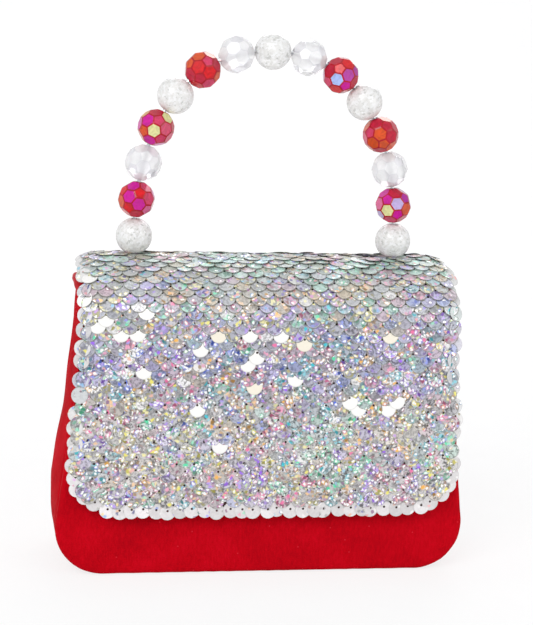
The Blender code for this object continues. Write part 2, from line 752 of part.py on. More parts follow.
def build_closure(front_board, stiffener, front_pivot):
    flap_y = FLAP_FRONT_Y + BOARD_DEPTH
    panel_y = -BODY_DEPTH / 2 + CLOTH + GAP
    magnet("flap_magnet", flap_y, front_pivot)
    magnet("panel_magnet", panel_y)
    pocket = cutter_cylinder(
        "magnet_pocket", MAGNET_DIAMETER / 2 + GAP, panel_y - flap_y + 2 * BOARD + 2 * OVERRUN,
        (0.0, (flap_y + panel_y + BOARD) / 2, MAGNET_HEIGHT), (math.pi / 2, 0.0, 0.0),
    )  # fmt: skip
    cut(front_board, pocket)
    cut(stiffener, pocket)


def build_anchors(crown_pivot):
    """Under each end of the handle: a washer, a crimp and the wire's end through all of them."""
    bore = BORE_DIAMETER / 2
    for side, label in ((-1, "left"), (1, "right")):
        x = side * HANDLE_SPREAD / 2
        washer_z = CROWN_UNDERSIDE - WASHER_DROP - WASHER_THICKNESS / 2
        half, rim = WASHER_THICKNESS / 2, WASHER_DIAMETER / 2
        turned(
            f"{label}_washer", [(rim, half), (rim, -half), (bore, -half), (bore, half)],
            "steel_wire", crown_pivot, (x, 0.0, washer_z),
        )  # fmt: skip
        crimp_z = washer_z - half - GAP - CRIMP_HEIGHT / 2
        half, rim, soft = CRIMP_HEIGHT / 2, CRIMP_DIAMETER / 2, CRIMP_DIAMETER / 8
        profile = [
            (rim - soft, half), (rim, half - soft), (rim, soft - half), (rim - soft, -half),
            (bore, -half), (bore, half),
        ]  # fmt: skip
        turned(f"{label}_crimp", profile, "steel_wire", crown_pivot, (x, 0.0, crimp_z))
        upper = BASE_BEAD_HEIGHT - BEAD_DIAMETER / 2 - GAP
        lower = crimp_z - half - WIRE_TAIL
        bm = bmesh.new()
        radius = WIRE_DIAMETER / 2
        bmesh.ops.create_cone(
            bm, cap_ends=True, segments=CIRCLE_STEPS, radius1=radius, radius2=radius, depth=upper - lower
        )
        name = f"{label}_wire_end"
        add_part(name, mesh_of(name, bm), "steel_wire", crown_pivot, (x, 0.0, (upper + lower) / 2))


def build_handle(handle_pivot):
    centres, directions = handle_arch()
    shapes = {"crackle": round_bead_mesh(), "red": faceted_bead_mesh()}
    shapes["clear"] = shapes["red"]
    strung = zip(STRINGING, centres, directions)
    for number, (kind, centre, direction) in enumerate(strung, start=1):
        lean = math.atan2(direction[0], direction[1])
        spin = math.radians(BEAD_TURN_DEG * number)
        turn = (Matrix.Rotation(lean, 3, "Y") @ Matrix.Rotation(spin, 3, "Z")).to_euler()
        place = (centre[0], 0.0, centre[1])
        add_part(
            f"bead_{number:02d}_{kind}", shapes[kind], f"{kind}_bead", handle_pivot, place, turn
        )

    reach = BEAD_DIAMETER / 3
    radius = BEAD_DIAMETER / 2
    route = [centres[0] - directions[0] * radius]
    for centre, direction in zip(centres, directions):
        route += [centre - direction * reach, centre + direction * reach]
    route.append(centres[-1] + directions[-1] * radius)
    points = [(x, 0.0, z) for x, z in route]
    tube("handle_wire", points, WIRE_DIAMETER / 2, "steel_wire", handle_pivot)


def main():
    stiffener = build_body()
    hinge = flap_station(HINGE_DEG), flap_station(180.0 - HINGE_DEG)
    front_y, front_z = flap_at(hinge[0], 0.0)
    back_y, back_z = flap_at(hinge[1], 0.0)
    crown_pivot = pivot("crown_pivot", (0.0, float(back_y), float(back_z)))
    front_pivot = pivot("front_pivot", (0.0, float(front_y), float(front_z)), crown_pivot)
    handle_pivot = pivot("handle_pivot", (0.0, 0.0, BASE_BEAD_HEIGHT), crown_pivot)
    front_board = build_flap(crown_pivot, front_pivot)
    build_closure(front_board, stiffener, front_pivot)
    build_anchors(crown_pivot)
    build_handle(handle_pivot)
    bpy.context.view_layer.update()


main()
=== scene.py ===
"""A small evening handbag: red cloth box body, sequinned flap, strung bead handle.

Front faces -Y, +X is to the right as the front is seen, +Z is up, all in metres. The sizes
at the top are the part's own, so each cloth and sequin lies where its solid lies.
"""

import math
from functools import partial

import bmesh
import bpy
import numpy as np
from mathutils import Matrix, Vector


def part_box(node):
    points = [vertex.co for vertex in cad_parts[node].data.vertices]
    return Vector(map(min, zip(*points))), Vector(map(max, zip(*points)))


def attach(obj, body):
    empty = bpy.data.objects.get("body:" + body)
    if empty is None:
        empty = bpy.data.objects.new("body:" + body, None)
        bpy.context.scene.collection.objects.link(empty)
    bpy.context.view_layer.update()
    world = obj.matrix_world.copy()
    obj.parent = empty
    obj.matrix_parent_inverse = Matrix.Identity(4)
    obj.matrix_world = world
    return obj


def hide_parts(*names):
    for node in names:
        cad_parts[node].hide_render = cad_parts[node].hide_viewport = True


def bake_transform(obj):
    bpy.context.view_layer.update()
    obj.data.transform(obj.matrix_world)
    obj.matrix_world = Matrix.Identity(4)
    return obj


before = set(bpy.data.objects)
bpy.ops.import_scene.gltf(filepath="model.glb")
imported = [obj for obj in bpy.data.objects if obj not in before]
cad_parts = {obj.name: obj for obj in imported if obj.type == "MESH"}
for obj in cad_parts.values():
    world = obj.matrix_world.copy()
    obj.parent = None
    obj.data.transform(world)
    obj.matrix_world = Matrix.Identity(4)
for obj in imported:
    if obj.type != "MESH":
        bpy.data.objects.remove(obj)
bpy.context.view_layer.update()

MM = 0.001

# Body
FOOT_WIDTH = 0.1440
MOUTH_WIDTH = 0.1211
PANEL_HEIGHT = 0.0882
BODY_DEPTH = 0.0420
FOOT_CORNER = 0.0160
EDGE_ROLL = 0.0020
RIM_DEPTH = 0.0030
CORNER_ROWS_TOP = 0.0220  # a panel's rows of faces lie closer below this, round the corners
PUCKER_CENTRE = 0.0440  # the puckers along a panel's seam fan out from this height
CLOTH = 0.0009
WAVE_DEPTH = 0.00022
WAVE_LENGTH = 0.035
PUCKER_DEPTH = 0.00012
PUCKER_REACH = 0.003
SLOPE = (FOOT_WIDTH - MOUTH_WIDTH) / (2 * PANEL_HEIGHT)
SLANT = math.hypot(1.0, SLOPE)
LEAN = math.atan(SLOPE)
CORNER_X = FOOT_WIDTH / 2 - FOOT_CORNER * (SLOPE + SLANT)  # middle of the foot corner's arc

# Gusset: swells are shares of the bulge, at shares of the panel's height
GUSSET_HEIGHT = 0.0955
GUSSET_HALF_DEPTH = 0.0177
GUSSET_TURN_IN = 0.0172  # from here out it turns in to the seam
GUSSET_BULGE = 0.0028
GUSSET_FOLDS_START = 0.0300
GUSSET_CALM = 0.0100  # no folds up to this height
GUSSET_FOLD_DEPTH = 0.0005
GUSSET_SAG = 0.0003
ARCH_TOP = 1.9
SWELL_HEIGHTS = (0.0, 0.12, 0.22, 0.33, 0.6, 0.95, 1.1)
SWELLS = (0.0, 0.0, 0.45, 1.0, 0.85, 0.95, 1.3)
EDGING_RADIUS = 0.0016
SEAM_GAP = 0.0002

# Lining
LINING = 0.0006
LINING_TOP = 0.0850
LINING_FLOOR = 0.0033
LINING_INSET_X = 0.0025
LINING_HALF_DEPTH = 0.0178
LINING_SAG = 0.0006

# Flap
HEM_HEIGHT = 0.0210
CROWN_RISE = 0.0173
FLAP_WIDTH = 0.1260
HEM_WIDTH = 0.1350
HEM_CORNER = 0.0175
TAIL_LENGTH = 0.0120
EDGE_CURL = 0.0020
CURL_WIDTH = 0.0075
CURLS = (0.1, 0.1, 0.4, 1.0, 0.7, 0.1, 0.0)
TAIL_NARROWING = 0.0030
FLAP_FRONT_Y = -0.0253
FLAP_BACK_Y = 0.0237
FRONT_LENGTH = PANEL_HEIGHT - HEM_HEIGHT
NET = 0.00035
NET_DEPTH = 0.00105
NET_INSET = 0.0022
LINING_DEPTH = 0.0033
TAIL_LINING_DEPTH = 0.0018
EDGE_LINING_DEPTH = 0.0015
LINING_INSET = 0.0008
LAYER_STEP = 0.0015

# Sequins: punched film discs, hung by a hole near their top
SEQUIN_RADIUS = 0.00275
SEQUIN_HOLE = 0.0004
SEQUIN_THICKNESS = 0.00008
SEQUIN_STEPS = 16
HOLE_RISE = 0.00135  # from the disc's middle up to its hole
FIRST_ROW = 0.0062
ROW_PITCH = 0.0025
ROW_DISCS = 23  # middle to middle in the longer rows, about 5.3 mm apart
ROW_INSET = 0.0030
FIELD_INSET = 0.0023
HEM_INSET = 0.0024
HEM_PITCH = 0.0041
HEM_RISE = 0.00045
HEM_DEPTH = 0.00088
EDGE_START = 0.0270
EDGE_PITCH = 0.0053

# Handle
BEAD_RADIUS = 0.0061
CUT_BEAD_RADIUS = 0.00615  # over the corners between its facets
BORE_RADIUS = 0.00105
TURN_PER_BEAD = math.radians(137.5)  # so that no two beads show the same facets
STRINGING = (
    "crackle red clear red crackle red clear crackle clear red crackle red clear red crackle"
).split()
BEADS = [f"bead_{place:02d}_{kind}" for place, kind in enumerate(STRINGING, 1)]
BEAD_MIDDLES = np.array([np.mean(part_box(name), axis=0) for name in BEADS])


def hex_colour(code):
    """An sRGB hex colour as linear red, green, blue and alpha."""
    values = [int(code[i : i + 2], 16) / 255 for i in (1, 3, 5)]
    return [v / 12.92 if v <= 0.04045 else ((v + 0.055) / 1.055) ** 2.4 for v in values] + [1.0]


def feed(node, *inputs, **named):
    """Fills a node's live inputs, in order or by name with _ for a space. Each takes a value, an
    output, or a node for its first live output."""
    live = [socket for socket in node.inputs if socket.enabled]
    called = {socket.name.replace(" ", "_"): socket for socket in live}
    for socket, value in [*zip(live, inputs), *((called[name], value) for name, value in named.items())]:
        if isinstance(value, bpy.types.Node):
            value = next(output for output in value.outputs if output.enabled)
        if isinstance(value, bpy.types.NodeSocket):
            node.id_data.links.new(value, socket)
        else:
            socket.default_value = value


def add(tree, kind, *inputs, stops=(), **named):
    """Adds a node and feeds it. Names in small letters are settings; stops are a ramp's."""
    made = tree.nodes.new("ShaderNode" + kind)
    for name in [name for name in named if name.islower()]:
        setattr(made, name, named.pop(name))
    feed(made, *inputs, **named)
    for number, (place, code) in enumerate(stops):
        ramp = made.color_ramp.elements
        stop = ramp[number] if number < len(ramp) else ramp.new(1.0)
        stop.position, stop.color = place, hex_colour(code)
    return made


def new_material(name):
    """A material, the function above for its own tree, and its shader."""
    made = bpy.data.materials.new(name)
    made.use_nodes = True
    return made, partial(add, made.node_tree), made.node_tree.nodes["Principled BSDF"]


# Shapes


def grid_quads(rows, columns, wrap=False):
    """Corner numbers of the quads of a grid of points, rows x columns."""
    index = np.arange(rows * columns).reshape(rows, columns)
    if wrap:
        index = np.concatenate([index, index[:, :1]], axis=1)
    cells = [index[:-1, :-1], index[:-1, 1:], index[1:, 1:], index[1:, :-1]]
    return np.stack(cells, axis=-1).reshape(-1, 4)


def add_object(name, data):
    made = bpy.data.objects.new(name, data)
    bpy.context.scene.collection.objects.link(made)
    return made


def piece(name, points, quads, material):
    """A mesh object at the origin."""
    mesh = bpy.data.meshes.new(name)
    mesh.from_pydata(points.reshape(-1, 3).tolist(), [], quads.tolist())
    mesh.shade_smooth()
    mesh.materials.append(material)
    return add_object(name, mesh)


def read(items, key, width=1, kind=float):
    """One property of all of a mesh's items as an array."""
    values = np.empty(len(items) * width, dtype=kind)
    items.foreach_get(key, values)
    return values.reshape(-1, width) if width > 1 else values


def add_uv(mesh, name, points):
    """A UV layer in mm, from one place for each point or each corner of a face."""
    points = points.reshape(-1, 2)
    if len(points) < len(mesh.loops):
        points = points[read(mesh.loops, "vertex_index", kind=np.int32)]
    mesh.uv_layers.new(name=name).data.foreach_set("uv", points.astype(np.float32).ravel())


def sheet(name, grid, material, uv=None, wrap=False, flip=False, recalc=False, wall=0.0):
    """A piece from a grid of points, rows x columns, given a wall inwards of its outer face.

    Points in one place become one point, which closes seams and poles.
    """
    quads = grid_quads(*grid.shape[:2], wrap)
    made = piece(name, grid, quads[:, ::-1] if flip else quads, material)
    if uv is not None:
        add_uv(made.data, "cloth", uv)
    bm = bmesh.new()
    bm.from_mesh(made.data)
    bmesh.ops.remove_doubles(bm, verts=bm.verts, dist=1e-6)
    if recalc:
        bmesh.ops.recalc_face_normals(bm, faces=bm.faces)
    bm.to_mesh(made.data)
    bm.free()
    if wall:
        solid = made.modifiers.new("wall", "SOLIDIFY")
        solid.thickness = wall
        solid.offset = -1.0
        solid.use_even_offset = True
        solid.use_quality_normals = True
    return made


def full_turn(steps):
    """Angles evenly round a circle."""
    return np.linspace(0.0, 2 * math.pi, steps, endpoint=False)


def points_of(*axes):
    """Points, or other rows of values, from one array for each axis."""
    return np.stack(np.broadcast_arrays(*axes), axis=-1)


def unit(values):
    """Values kept from 0 to 1."""
    return np.clip(values, 0.0, 1.0)


def turned(a, b, angle):
    """Two directions turned in their own plane by an angle."""
    return a * np.cos(angle) - b * np.sin(angle), a * np.sin(angle) + b * np.cos(angle)


def run_along(*axes):
    """Length along a path from its start to each of its points."""
    return np.concatenate([[0.0], np.cumsum(np.sqrt(sum(np.diff(axis) ** 2 for axis in axes)))])


def soft_waves(a, b, seed, length):
    """Slow unevenness of hand-made cloth: a few sines of random direction, about -1 to 1."""
    rng = np.random.default_rng(seed)
    total = np.zeros(np.broadcast(a, b).shape)
    for _ in range(6):
        turn, phase = rng.uniform(0.0, 2 * math.pi, 2)
        wave = 2 * math.pi / (length * rng.uniform(0.6, 1.6))
        total = total + np.sin(wave * (a * math.cos(turn) + b * math.sin(turn)) + phase)
    return total / 3.5


# Body


def side_x(z, inset=0.0):
    """How far the slanted side line is from the middle at a height, drawn in by an inset."""
    return FOOT_WIDTH / 2 - inset * SLANT - SLOPE * z


def half_path(top, side_steps=40, corner_steps=12, foot_steps=16):
    """Right half of the body's U: slanted side, corner arc, foot. Gives x, z and the normal."""
    bend = FOOT_CORNER * (1.0 + math.sin(LEAN))
    z = top + (bend - top) * np.linspace(0.0, 1.0, side_steps + 1)
    angle = np.linspace(LEAN, -math.pi / 2, corner_steps + 1)[1:]
    arc = points_of(np.cos(angle), np.sin(angle))
    foot = np.linspace(CORNER_X, 0.0, foot_steps + 1)[1:]
    x = np.concatenate([side_x(z), CORNER_X + FOOT_CORNER * arc[:, 0], foot])
    side = np.tile([math.cos(LEAN), math.sin(LEAN)], (side_steps + 1, 1))
    z = np.concatenate([z, FOOT_CORNER + FOOT_CORNER * arc[:, 1], 0.0 * foot])
    return x, z, np.concatenate([side, arc, np.tile([0.0, -1.0], (foot_steps, 1))])


def edge_distance(x, z):
    """Distance from a point of the panel in to its outline: side, foot, corner arc and top."""
    side = (side_x(z) - np.abs(x)) / SLANT
    nearest = np.minimum(np.minimum(side, z), PANEL_HEIGHT - z)
    past = np.abs(x) - CORNER_X
    from_arc = FOOT_CORNER - np.hypot(past, z - FOOT_CORNER)
    corner = (past > 0.0) & (z < FOOT_CORNER + past * SLOPE)
    return np.clip(np.where(corner, np.minimum(from_arc, PANEL_HEIGHT - z), nearest), 0.0, None)


def panel_half_width(z):
    """Half the panel's width at a height: the arc of the foot's corner, then the slanted side."""
    drop = np.clip(np.abs(z - FOOT_CORNER), 0.0, FOOT_CORNER)
    arc = CORNER_X + np.sqrt(FOOT_CORNER**2 - drop**2)
    bend = FOOT_CORNER * (1.0 + math.sin(LEAN))
    return np.where(z < bend, np.minimum(arc, side_x(z)), side_x(z))


def panel_cloth(name, facing, seed, material):
    """Panel cloth stretched over its board, the edge rolled back into the seam.

    x is a share of the half width at each height z. The face stands back from the panel's
    plane by r - sqrt(r^2 - (r - d)^2) within the roll radius r of the outline, d being the
    distance to it, and by slow waves elsewhere. One more ring runs straight back to the seam.
    """
    roll = EDGE_ROLL * (1.0 - np.cos(np.linspace(0.0, math.pi / 2, 6)))
    corner_rows = np.linspace(EDGE_ROLL, CORNER_ROWS_TOP, 15)[1:]
    side_rows = np.linspace(CORNER_ROWS_TOP, PANEL_HEIGHT - EDGE_ROLL, 26)[1:-1]
    z = np.concatenate([roll, corner_rows, side_rows, PANEL_HEIGHT - roll[::-1]])
    near = 1.0 - roll / (FOOT_WIDTH / 2)
    share = np.concatenate([-near, np.linspace(-near[-1], near[-1], 41)[1:-1], near[::-1]])
    x = panel_half_width(z)[:, None] * share
    z = np.broadcast_to(z[:, None], x.shape)
    distance = edge_distance(x, z)
    inside = np.clip(EDGE_ROLL - distance, 0.0, EDGE_ROLL)
    back = EDGE_ROLL - np.sqrt(EDGE_ROLL**2 - inside**2)
    calm = unit((distance - EDGE_ROLL) / 0.010)
    wave = soft_waves(x, z, seed, WAVE_LENGTH) * WAVE_DEPTH * calm
    bearing = np.arctan2(z - PUCKER_CENTRE, x)
    pucker = PUCKER_DEPTH * np.sin(bearing * 60.0 + seed) * np.exp(-distance / PUCKER_REACH)
    depth = back + wave + pucker * (distance > 0)
    points = points_of(x, facing * (BODY_DEPTH / 2 - depth), z)
    ringed = np.pad(points, ((1, 1), (1, 1), (0, 0)), mode="edge")
    seam = facing * (BODY_DEPTH / 2 - RIM_DEPTH - 0.0001)
    ringed[[0, -1], :, 1] = seam
    ringed[:, [0, -1], 1] = seam
    return sheet(name, ringed, material, ringed[..., [0, 2]] / MM, flip=facing > 0, wall=CLOTH)


def gusset_arch(y):
    """Height of the gusset's top edge at a depth: it rises from the panels to the middle."""
    share = np.abs(y) / GUSSET_HALF_DEPTH
    return PANEL_HEIGHT + (GUSSET_HEIGHT - PANEL_HEIGHT) * (1.0 - np.minimum(share, 1.0) ** ARCH_TOP)


def gusset_swell(y, z):
    """How far the gusset stands out between the panels: the sides swell, the foot is flat."""
    across = np.cos(math.pi / 2 * np.clip(y / GUSSET_HALF_DEPTH, -1.0, 1.0))
    return GUSSET_BULGE * np.interp(z / PANEL_HEIGHT, SWELL_HEIGHTS, SWELLS) * across


def gusset_cloth(name, material):
    """The gusset strip: the body's U swept across the depth.

    Each point moves out along the U's normal by the swell, by folds that hang from the pinched
    top, and turns in at both seams by a quarter of a roll.
    """
    ends = np.array([GUSSET_HALF_DEPTH, GUSSET_HALF_DEPTH + 0.0002])
    y = np.concatenate([-ends[::-1], np.linspace(-GUSSET_TURN_IN, GUSSET_TURN_IN, 17), ends])
    columns = []
    for depth in y:
        x, z, normal = half_path(float(gusset_arch(depth)))
        height = (z - GUSSET_FOLDS_START) / (PANEL_HEIGHT - GUSSET_FOLDS_START)
        fold = GUSSET_FOLD_DEPTH * unit(height) ** 2 * math.cos(depth * 900.0)
        sag = GUSSET_SAG * soft_waves(depth, z, 11, 0.025)
        level = unit((z - GUSSET_CALM) / 0.010)
        out = gusset_swell(depth, z) + (fold + sag) * level * math.cos(depth * 87.0)
        out = out - max(0.0, abs(depth) - GUSSET_TURN_IN)
        up = np.maximum(z + out * normal[:, 1], 0.0)
        moved = points_of(x + out * normal[:, 0], depth, up)
        columns.append(np.concatenate([moved, moved[-2::-1] * [-1.0, 1.0, 1.0]]))
    points = np.stack(columns, axis=1)
    run = run_along(*points[:, 9].T)
    uv = points_of(y / MM, run[:, None] / MM)
    return sheet(name, points, material, uv, flip=True, wall=CLOTH)


def gusset_edging(name, side, material):
    """Rolled cloth edge: a circle carried along the gusset's arched top, with wrung wrinkles."""
    y = np.linspace(-GUSSET_HALF_DEPTH, GUSSET_HALF_DEPTH, 60)
    z = gusset_arch(y)
    slope = np.gradient(z, y)
    up = points_of(0.0, -slope, 1.0) / np.hypot(1.0, slope)[:, None]
    edge = points_of(side * (side_x(z, -SEAM_GAP) + gusset_swell(y, z)), y, z)
    centre = edge + (EDGING_RADIUS + SEAM_GAP) * up
    keep = np.abs(centre[:, 1]) < GUSSET_HALF_DEPTH
    centre, up = centre[keep], up[keep]
    along = np.arange(len(centre))[:, None]
    angle = full_turn(16)
    wrinkle = 1.0 + 0.05 * np.sin(angle * 3 + along * 0.55)
    close = np.clip(np.minimum(along, along[::-1]) / 2.0, 0.12, 1.0) ** 0.5
    radius = EDGING_RADIUS * wrinkle * close
    outward = np.array([float(side), 0.0, 0.0])
    ring = np.cos(angle)[:, None] * outward + np.sin(angle)[:, None] * up[:, None, :]
    points = centre[:, None, :] + radius[..., None] * ring
    points[0], points[-1] = centre[0], centre[-1]
    uv = points_of(along * 0.6, angle * 1.4)
    return sheet(name, points, material, uv, wrap=True, recalc=True)


def bag_lining(name, material):
    """The lining as one sagging bag: a rounded oblong ring lofted from the mouth to the floor.

    At each level the ring's half width follows the body's slanted side and corner arc and its
    half depth the panels; below the last level the rings close to a line on the floor.
    """
    turn = full_turn(160) + math.pi / 160
    across, deep = (np.sign(wave) * np.abs(wave) ** 0.22 for wave in (np.cos(turn), np.sin(turn)))
    level = np.concatenate([np.linspace(0.0, 0.8, 24), np.linspace(0.8, 1.0, 14)[1:]])[:, None]
    side_top = gusset_arch(deep * GUSSET_HALF_DEPTH) - 0.0006
    share = unit((np.abs(across) - 0.985) / 0.015)
    top = LINING_TOP + (side_top - LINING_TOP) * share
    z = top + (LINING_FLOOR - top) * level
    radius = FOOT_CORNER - LINING_FLOOR
    centre_x = side_x(LINING_FLOOR, LINING_INSET_X) - radius * (SLOPE + SLANT)
    drop = np.clip(LINING_FLOOR + radius - z, 0.0, radius)
    side = side_x(z, LINING_INSET_X)
    width = np.where(drop > 0.0, np.minimum(centre_x + np.sqrt(radius**2 - drop**2), side), side)
    sag = np.abs(LINING_SAG * soft_waves(across * 0.06, z, 23, 0.03) * np.sin(math.pi * level))
    walls = points_of(across * (width - sag), deep * (LINING_HALF_DEPTH - sag), z)
    floor = np.stack([walls[-1] * [1.0, left, 1.0] for left in np.linspace(1.0, 0.0, 7)[1:]])
    points = np.concatenate([walls, floor])
    uv = points_of(turn * 25.0, np.arange(len(points))[:, None] * 2.4)
    return sheet(name, points, material, uv, wrap=True, wall=LINING * 0.7)


# The flap's own curve


def flap_curve(samples=241):
    """The flap's outer face seen from the side: length along it, y, z and outward normal.

    A straight front, a quarter ellipse up to the crown, another down the back, a straight tail.
    """
    turn = np.linspace(0.0, math.pi / 2, samples)
    sin, cos = np.sin(turn), np.cos(turn)
    step = np.linspace(0.0, 1.0, samples)
    flat = np.ones(samples - 1)
    front, tail = HEM_HEIGHT + FRONT_LENGTH * step[:-1], PANEL_HEIGHT - TAIL_LENGTH * step[1:]
    rise, fall = PANEL_HEIGHT + CROWN_RISE * sin, PANEL_HEIGHT + CROWN_RISE * cos[1:]
    y = np.concatenate([FLAP_FRONT_Y * flat, FLAP_FRONT_Y * cos, FLAP_BACK_Y * sin[1:], FLAP_BACK_Y * flat])
    z = np.concatenate([front, rise, fall, tail])
    normal_y = np.concatenate([-flat, cos / FLAP_FRONT_Y, sin[1:] / FLAP_BACK_Y, flat])
    normal_z = np.concatenate([0 * flat, sin / CROWN_RISE, cos[1:] / CROWN_RISE, 0 * flat])
    size = np.hypot(normal_y, normal_z)
    return run_along(y, z), y, z, normal_y / size, normal_z / size


CURVE = flap_curve()
FLAP_LENGTH = float(CURVE[0][-1])
TAIL_END = FLAP_LENGTH - TAIL_LENGTH


def flap_station(slope_deg):
    """Length along the flap where its outward normal has turned this far from the front."""
    return float(np.interp(slope_deg, np.degrees(np.arctan2(CURVE[4], -CURVE[3])), CURVE[0]))


CROWN_START, CROWN_TOP, CROWN_END, TAIL_START = map(flap_station, (70.0, 90.0, 110.0, 160.0))


def flap_frame(s):
    """Point of the flap's outer face at a length, its outward normal and its upward tangent."""
    y, z, normal_y, normal_z = (np.interp(s, CURVE[0], values) for values in CURVE[1:])
    size = np.hypot(normal_y, normal_z)
    normal_y, normal_z = normal_y / size, normal_z / size
    z = z + np.minimum(s, 0.0) - np.maximum(s - FLAP_LENGTH, 0.0)
    ends = ((y, z), (normal_y, normal_z), (normal_z, -normal_y))
    return (points_of(0.0, *end) for end in ends)


def full_half_width(s):
    """Half the flap's width: the front flares to the hem and the back draws in to the tail."""
    flare = (HEM_WIDTH - FLAP_WIDTH) / 2 * (1.0 - unit(s / FRONT_LENGTH))
    past_crown = (s - CROWN_TOP) / (TAIL_END - CROWN_TOP)
    return FLAP_WIDTH / 2 + flare - TAIL_NARROWING * unit(past_crown)


def flap_half_width(s, inset=0.0):
    """Half the flap's width at a length, drawn in by an inset, with round corners at the hem."""
    radius = HEM_CORNER - inset
    below = np.clip(radius - (s - inset), 0.0, radius)
    return full_half_width(s) - inset - (radius - np.sqrt(radius**2 - below**2))


def edge_curl(s, x):
    """How far the flap's side edges droop under its smooth curve: most over the crown."""
    stops = [0.0, FRONT_LENGTH / 2, FRONT_LENGTH, CROWN_START, CROWN_END, TAIL_END, FLAP_LENGTH]
    beyond = np.clip((np.abs(x) - (full_half_width(s) - CURL_WIDTH)) / CURL_WIDTH, 0.0, 1.3)
    return EDGE_CURL * np.interp(s, stops, CURLS) * beyond**2


def flap_layer(name, start, end, depth_of, thickness, inset, material):
    """One cloth layer of the flap: a grid of lengths and shares of the half width.

    Its depth under the flap's outer face is depth_of(length, distance to the side edge) plus
    the droop of the side edges.
    """
    end = min(end, FLAP_LENGTH - inset)
    s = np.linspace(max(start, inset), end, 1 + round((end - start) / LAYER_STEP))
    has_hem = start < HEM_CORNER
    if has_hem:
        near = inset + (HEM_CORNER - inset) * (1 - np.cos(np.linspace(0, math.pi / 2, 14)))
        s = np.concatenate([near, s[s > near[-1] + 0.0005]])
    share = np.linspace(-1.0, 1.0, 61)
    share = np.sign(share) * (1.0 - (1.0 - np.abs(share)) ** 1.5)
    x = flap_half_width(s, inset)[:, None] * share
    s = np.broadcast_to(s[:, None], x.shape)
    from_edge = np.minimum(flap_half_width(s) - np.abs(x), s if has_hem else 1.0)
    from_edge = np.minimum(from_edge, FLAP_LENGTH - s)
    point, normal, _ = flap_frame(s)
    points = point - (depth_of(s, from_edge) + edge_curl(s, x))[..., None] * normal
    points[..., 0] = x
    return sheet(name, points, material, points_of(x, s) / MM, wall=thickness)


def net_depth(s, from_edge):
    """The net that carries the sequins keeps one depth under their tips."""
    return NET_DEPTH + 0.0 * s


def lining_depth(s, from_edge):
    """The lining lies over the board and comes up to the sequin cloth along its edges."""
    flat = np.interp(s, [CROWN_END, TAIL_START], [LINING_DEPTH, TAIL_LINING_DEPTH])
    near = unit(1.0 - from_edge / 0.0050)
    return flat + (EDGE_LINING_DEPTH - flat) * near**2


# Sequins


def hem_chain(rng):
    """Places of the whole discs along hem, round corners and sides: x, length, lean of the edge.

    A path drawn in from the flap's outline, cut at nearly even steps from its middle outwards.
    """
    rise = np.linspace(HEM_INSET, 0.0230, 400)
    side = flap_half_width(rise, HEM_INSET)
    x = np.concatenate([np.linspace(0.0, side[0], 300), side[1:]])
    s = np.concatenate([np.full(300, HEM_INSET), rise[1:]])
    run = run_along(x, s)
    count = int(run[-1] / HEM_PITCH)
    stops = np.arange(-count, count + 1) * HEM_PITCH + rng.normal(0.0, 0.0004, 2 * count + 1)
    side, stops = np.sign(stops), np.abs(stops)
    px, ps = np.interp(stops, run, x), np.interp(stops, run, s)
    ahead = stops + 0.0005
    lean = np.arctan2(np.interp(ahead, run, s) - ps, np.interp(ahead, run, x) - px)
    drift = rng.normal(0.0, 0.00025, len(stops))
    return side * (px + drift * np.sin(lean)), ps - drift * np.cos(lean), side * lean


def field_discs(rng):
    """Rows from the hem to the tail, one row pitch apart, every second row moved half a disc.

    The lowest rows draw up a little to leave the hem's discs in sight. Over the crown the discs
    ride up on one another and stand open, more so towards the right.
    """
    rows = np.arange(int((FLAP_LENGTH - FIRST_ROW) / ROW_PITCH) + 1)[:, None]
    reach = np.arange(-12, 12)
    s = FIRST_ROW + rows * ROW_PITCH + 0.0 * reach
    x = (reach + 0.5 * (rows % 2)) * (full_half_width(s) - ROW_INSET) / (ROW_DISCS / 2)
    kept = np.abs(x) <= flap_half_width(np.maximum(s - 0.0027, FIELD_INSET), FIELD_INSET)
    x, s = x[kept], s[kept]
    s = s + 0.0011 * np.exp((FIRST_ROW - s) / 0.0035)
    count = len(x)
    low = unit((0.070 - s) / 0.020)
    right = unit(0.5 + x / FLAP_WIDTH)
    lift_at, lifts = (0.070, 0.097, 0.104, 0.118), (0.0, 1.0, 1.0, 0.0)
    crown = np.interp(s, lift_at, lifts)
    over = np.interp(s, [0.093, 0.099], [0.0, 1.0])
    lift = crown * (0.0015 + 0.0005 * right)
    steepness = (crown - np.interp(s - 0.001, lift_at, lifts)) / 0.001
    tilt = 5.0 - 2.0 * low - 4.5 * over + crown * 3.0 * right - np.degrees(steepness * 0.0013)
    return {
        "x": x + rng.normal(0.0, 0.00013 + 0.00010 * low, count),
        "s": s + rng.normal(0.0, 0.00012 + 0.00008 * low, count),
        "tilt": np.radians(tilt + rng.normal(0.0, 1.2 + 2.4 * crown, count)),
        "roll": np.radians(rng.normal(0.0, 2.0 + 1.0 * crown, count)),
        "spin": np.radians(rng.normal(0.0, 5.0 + 4.0 * low, count)),
        "depth": 0.00080 - lift + rng.normal(0.0, 0.00012, count) * crown,
        "rise": HOLE_RISE,
        "kind": 0,
        "droop": 1.0,
    }


def hem_discs(rng):
    """Whole discs side by side along the hem and its round corners, hung near their middles."""
    x, s, lean = hem_chain(rng)
    count = len(x)
    return {
        "x": x - HEM_RISE * np.sin(lean) * 0.3,
        "s": s + HEM_RISE,
        "tilt": np.radians(rng.normal(1.5, 1.2, count)),
        "roll": np.radians(rng.normal(1.5, 1.2, count)),
        "spin": lean * 0.6 + rng.normal(0.0, 0.15, count),
        "depth": HEM_DEPTH,
        "rise": HEM_RISE,
        "kind": 1,
        "droop": 1.0,
    }


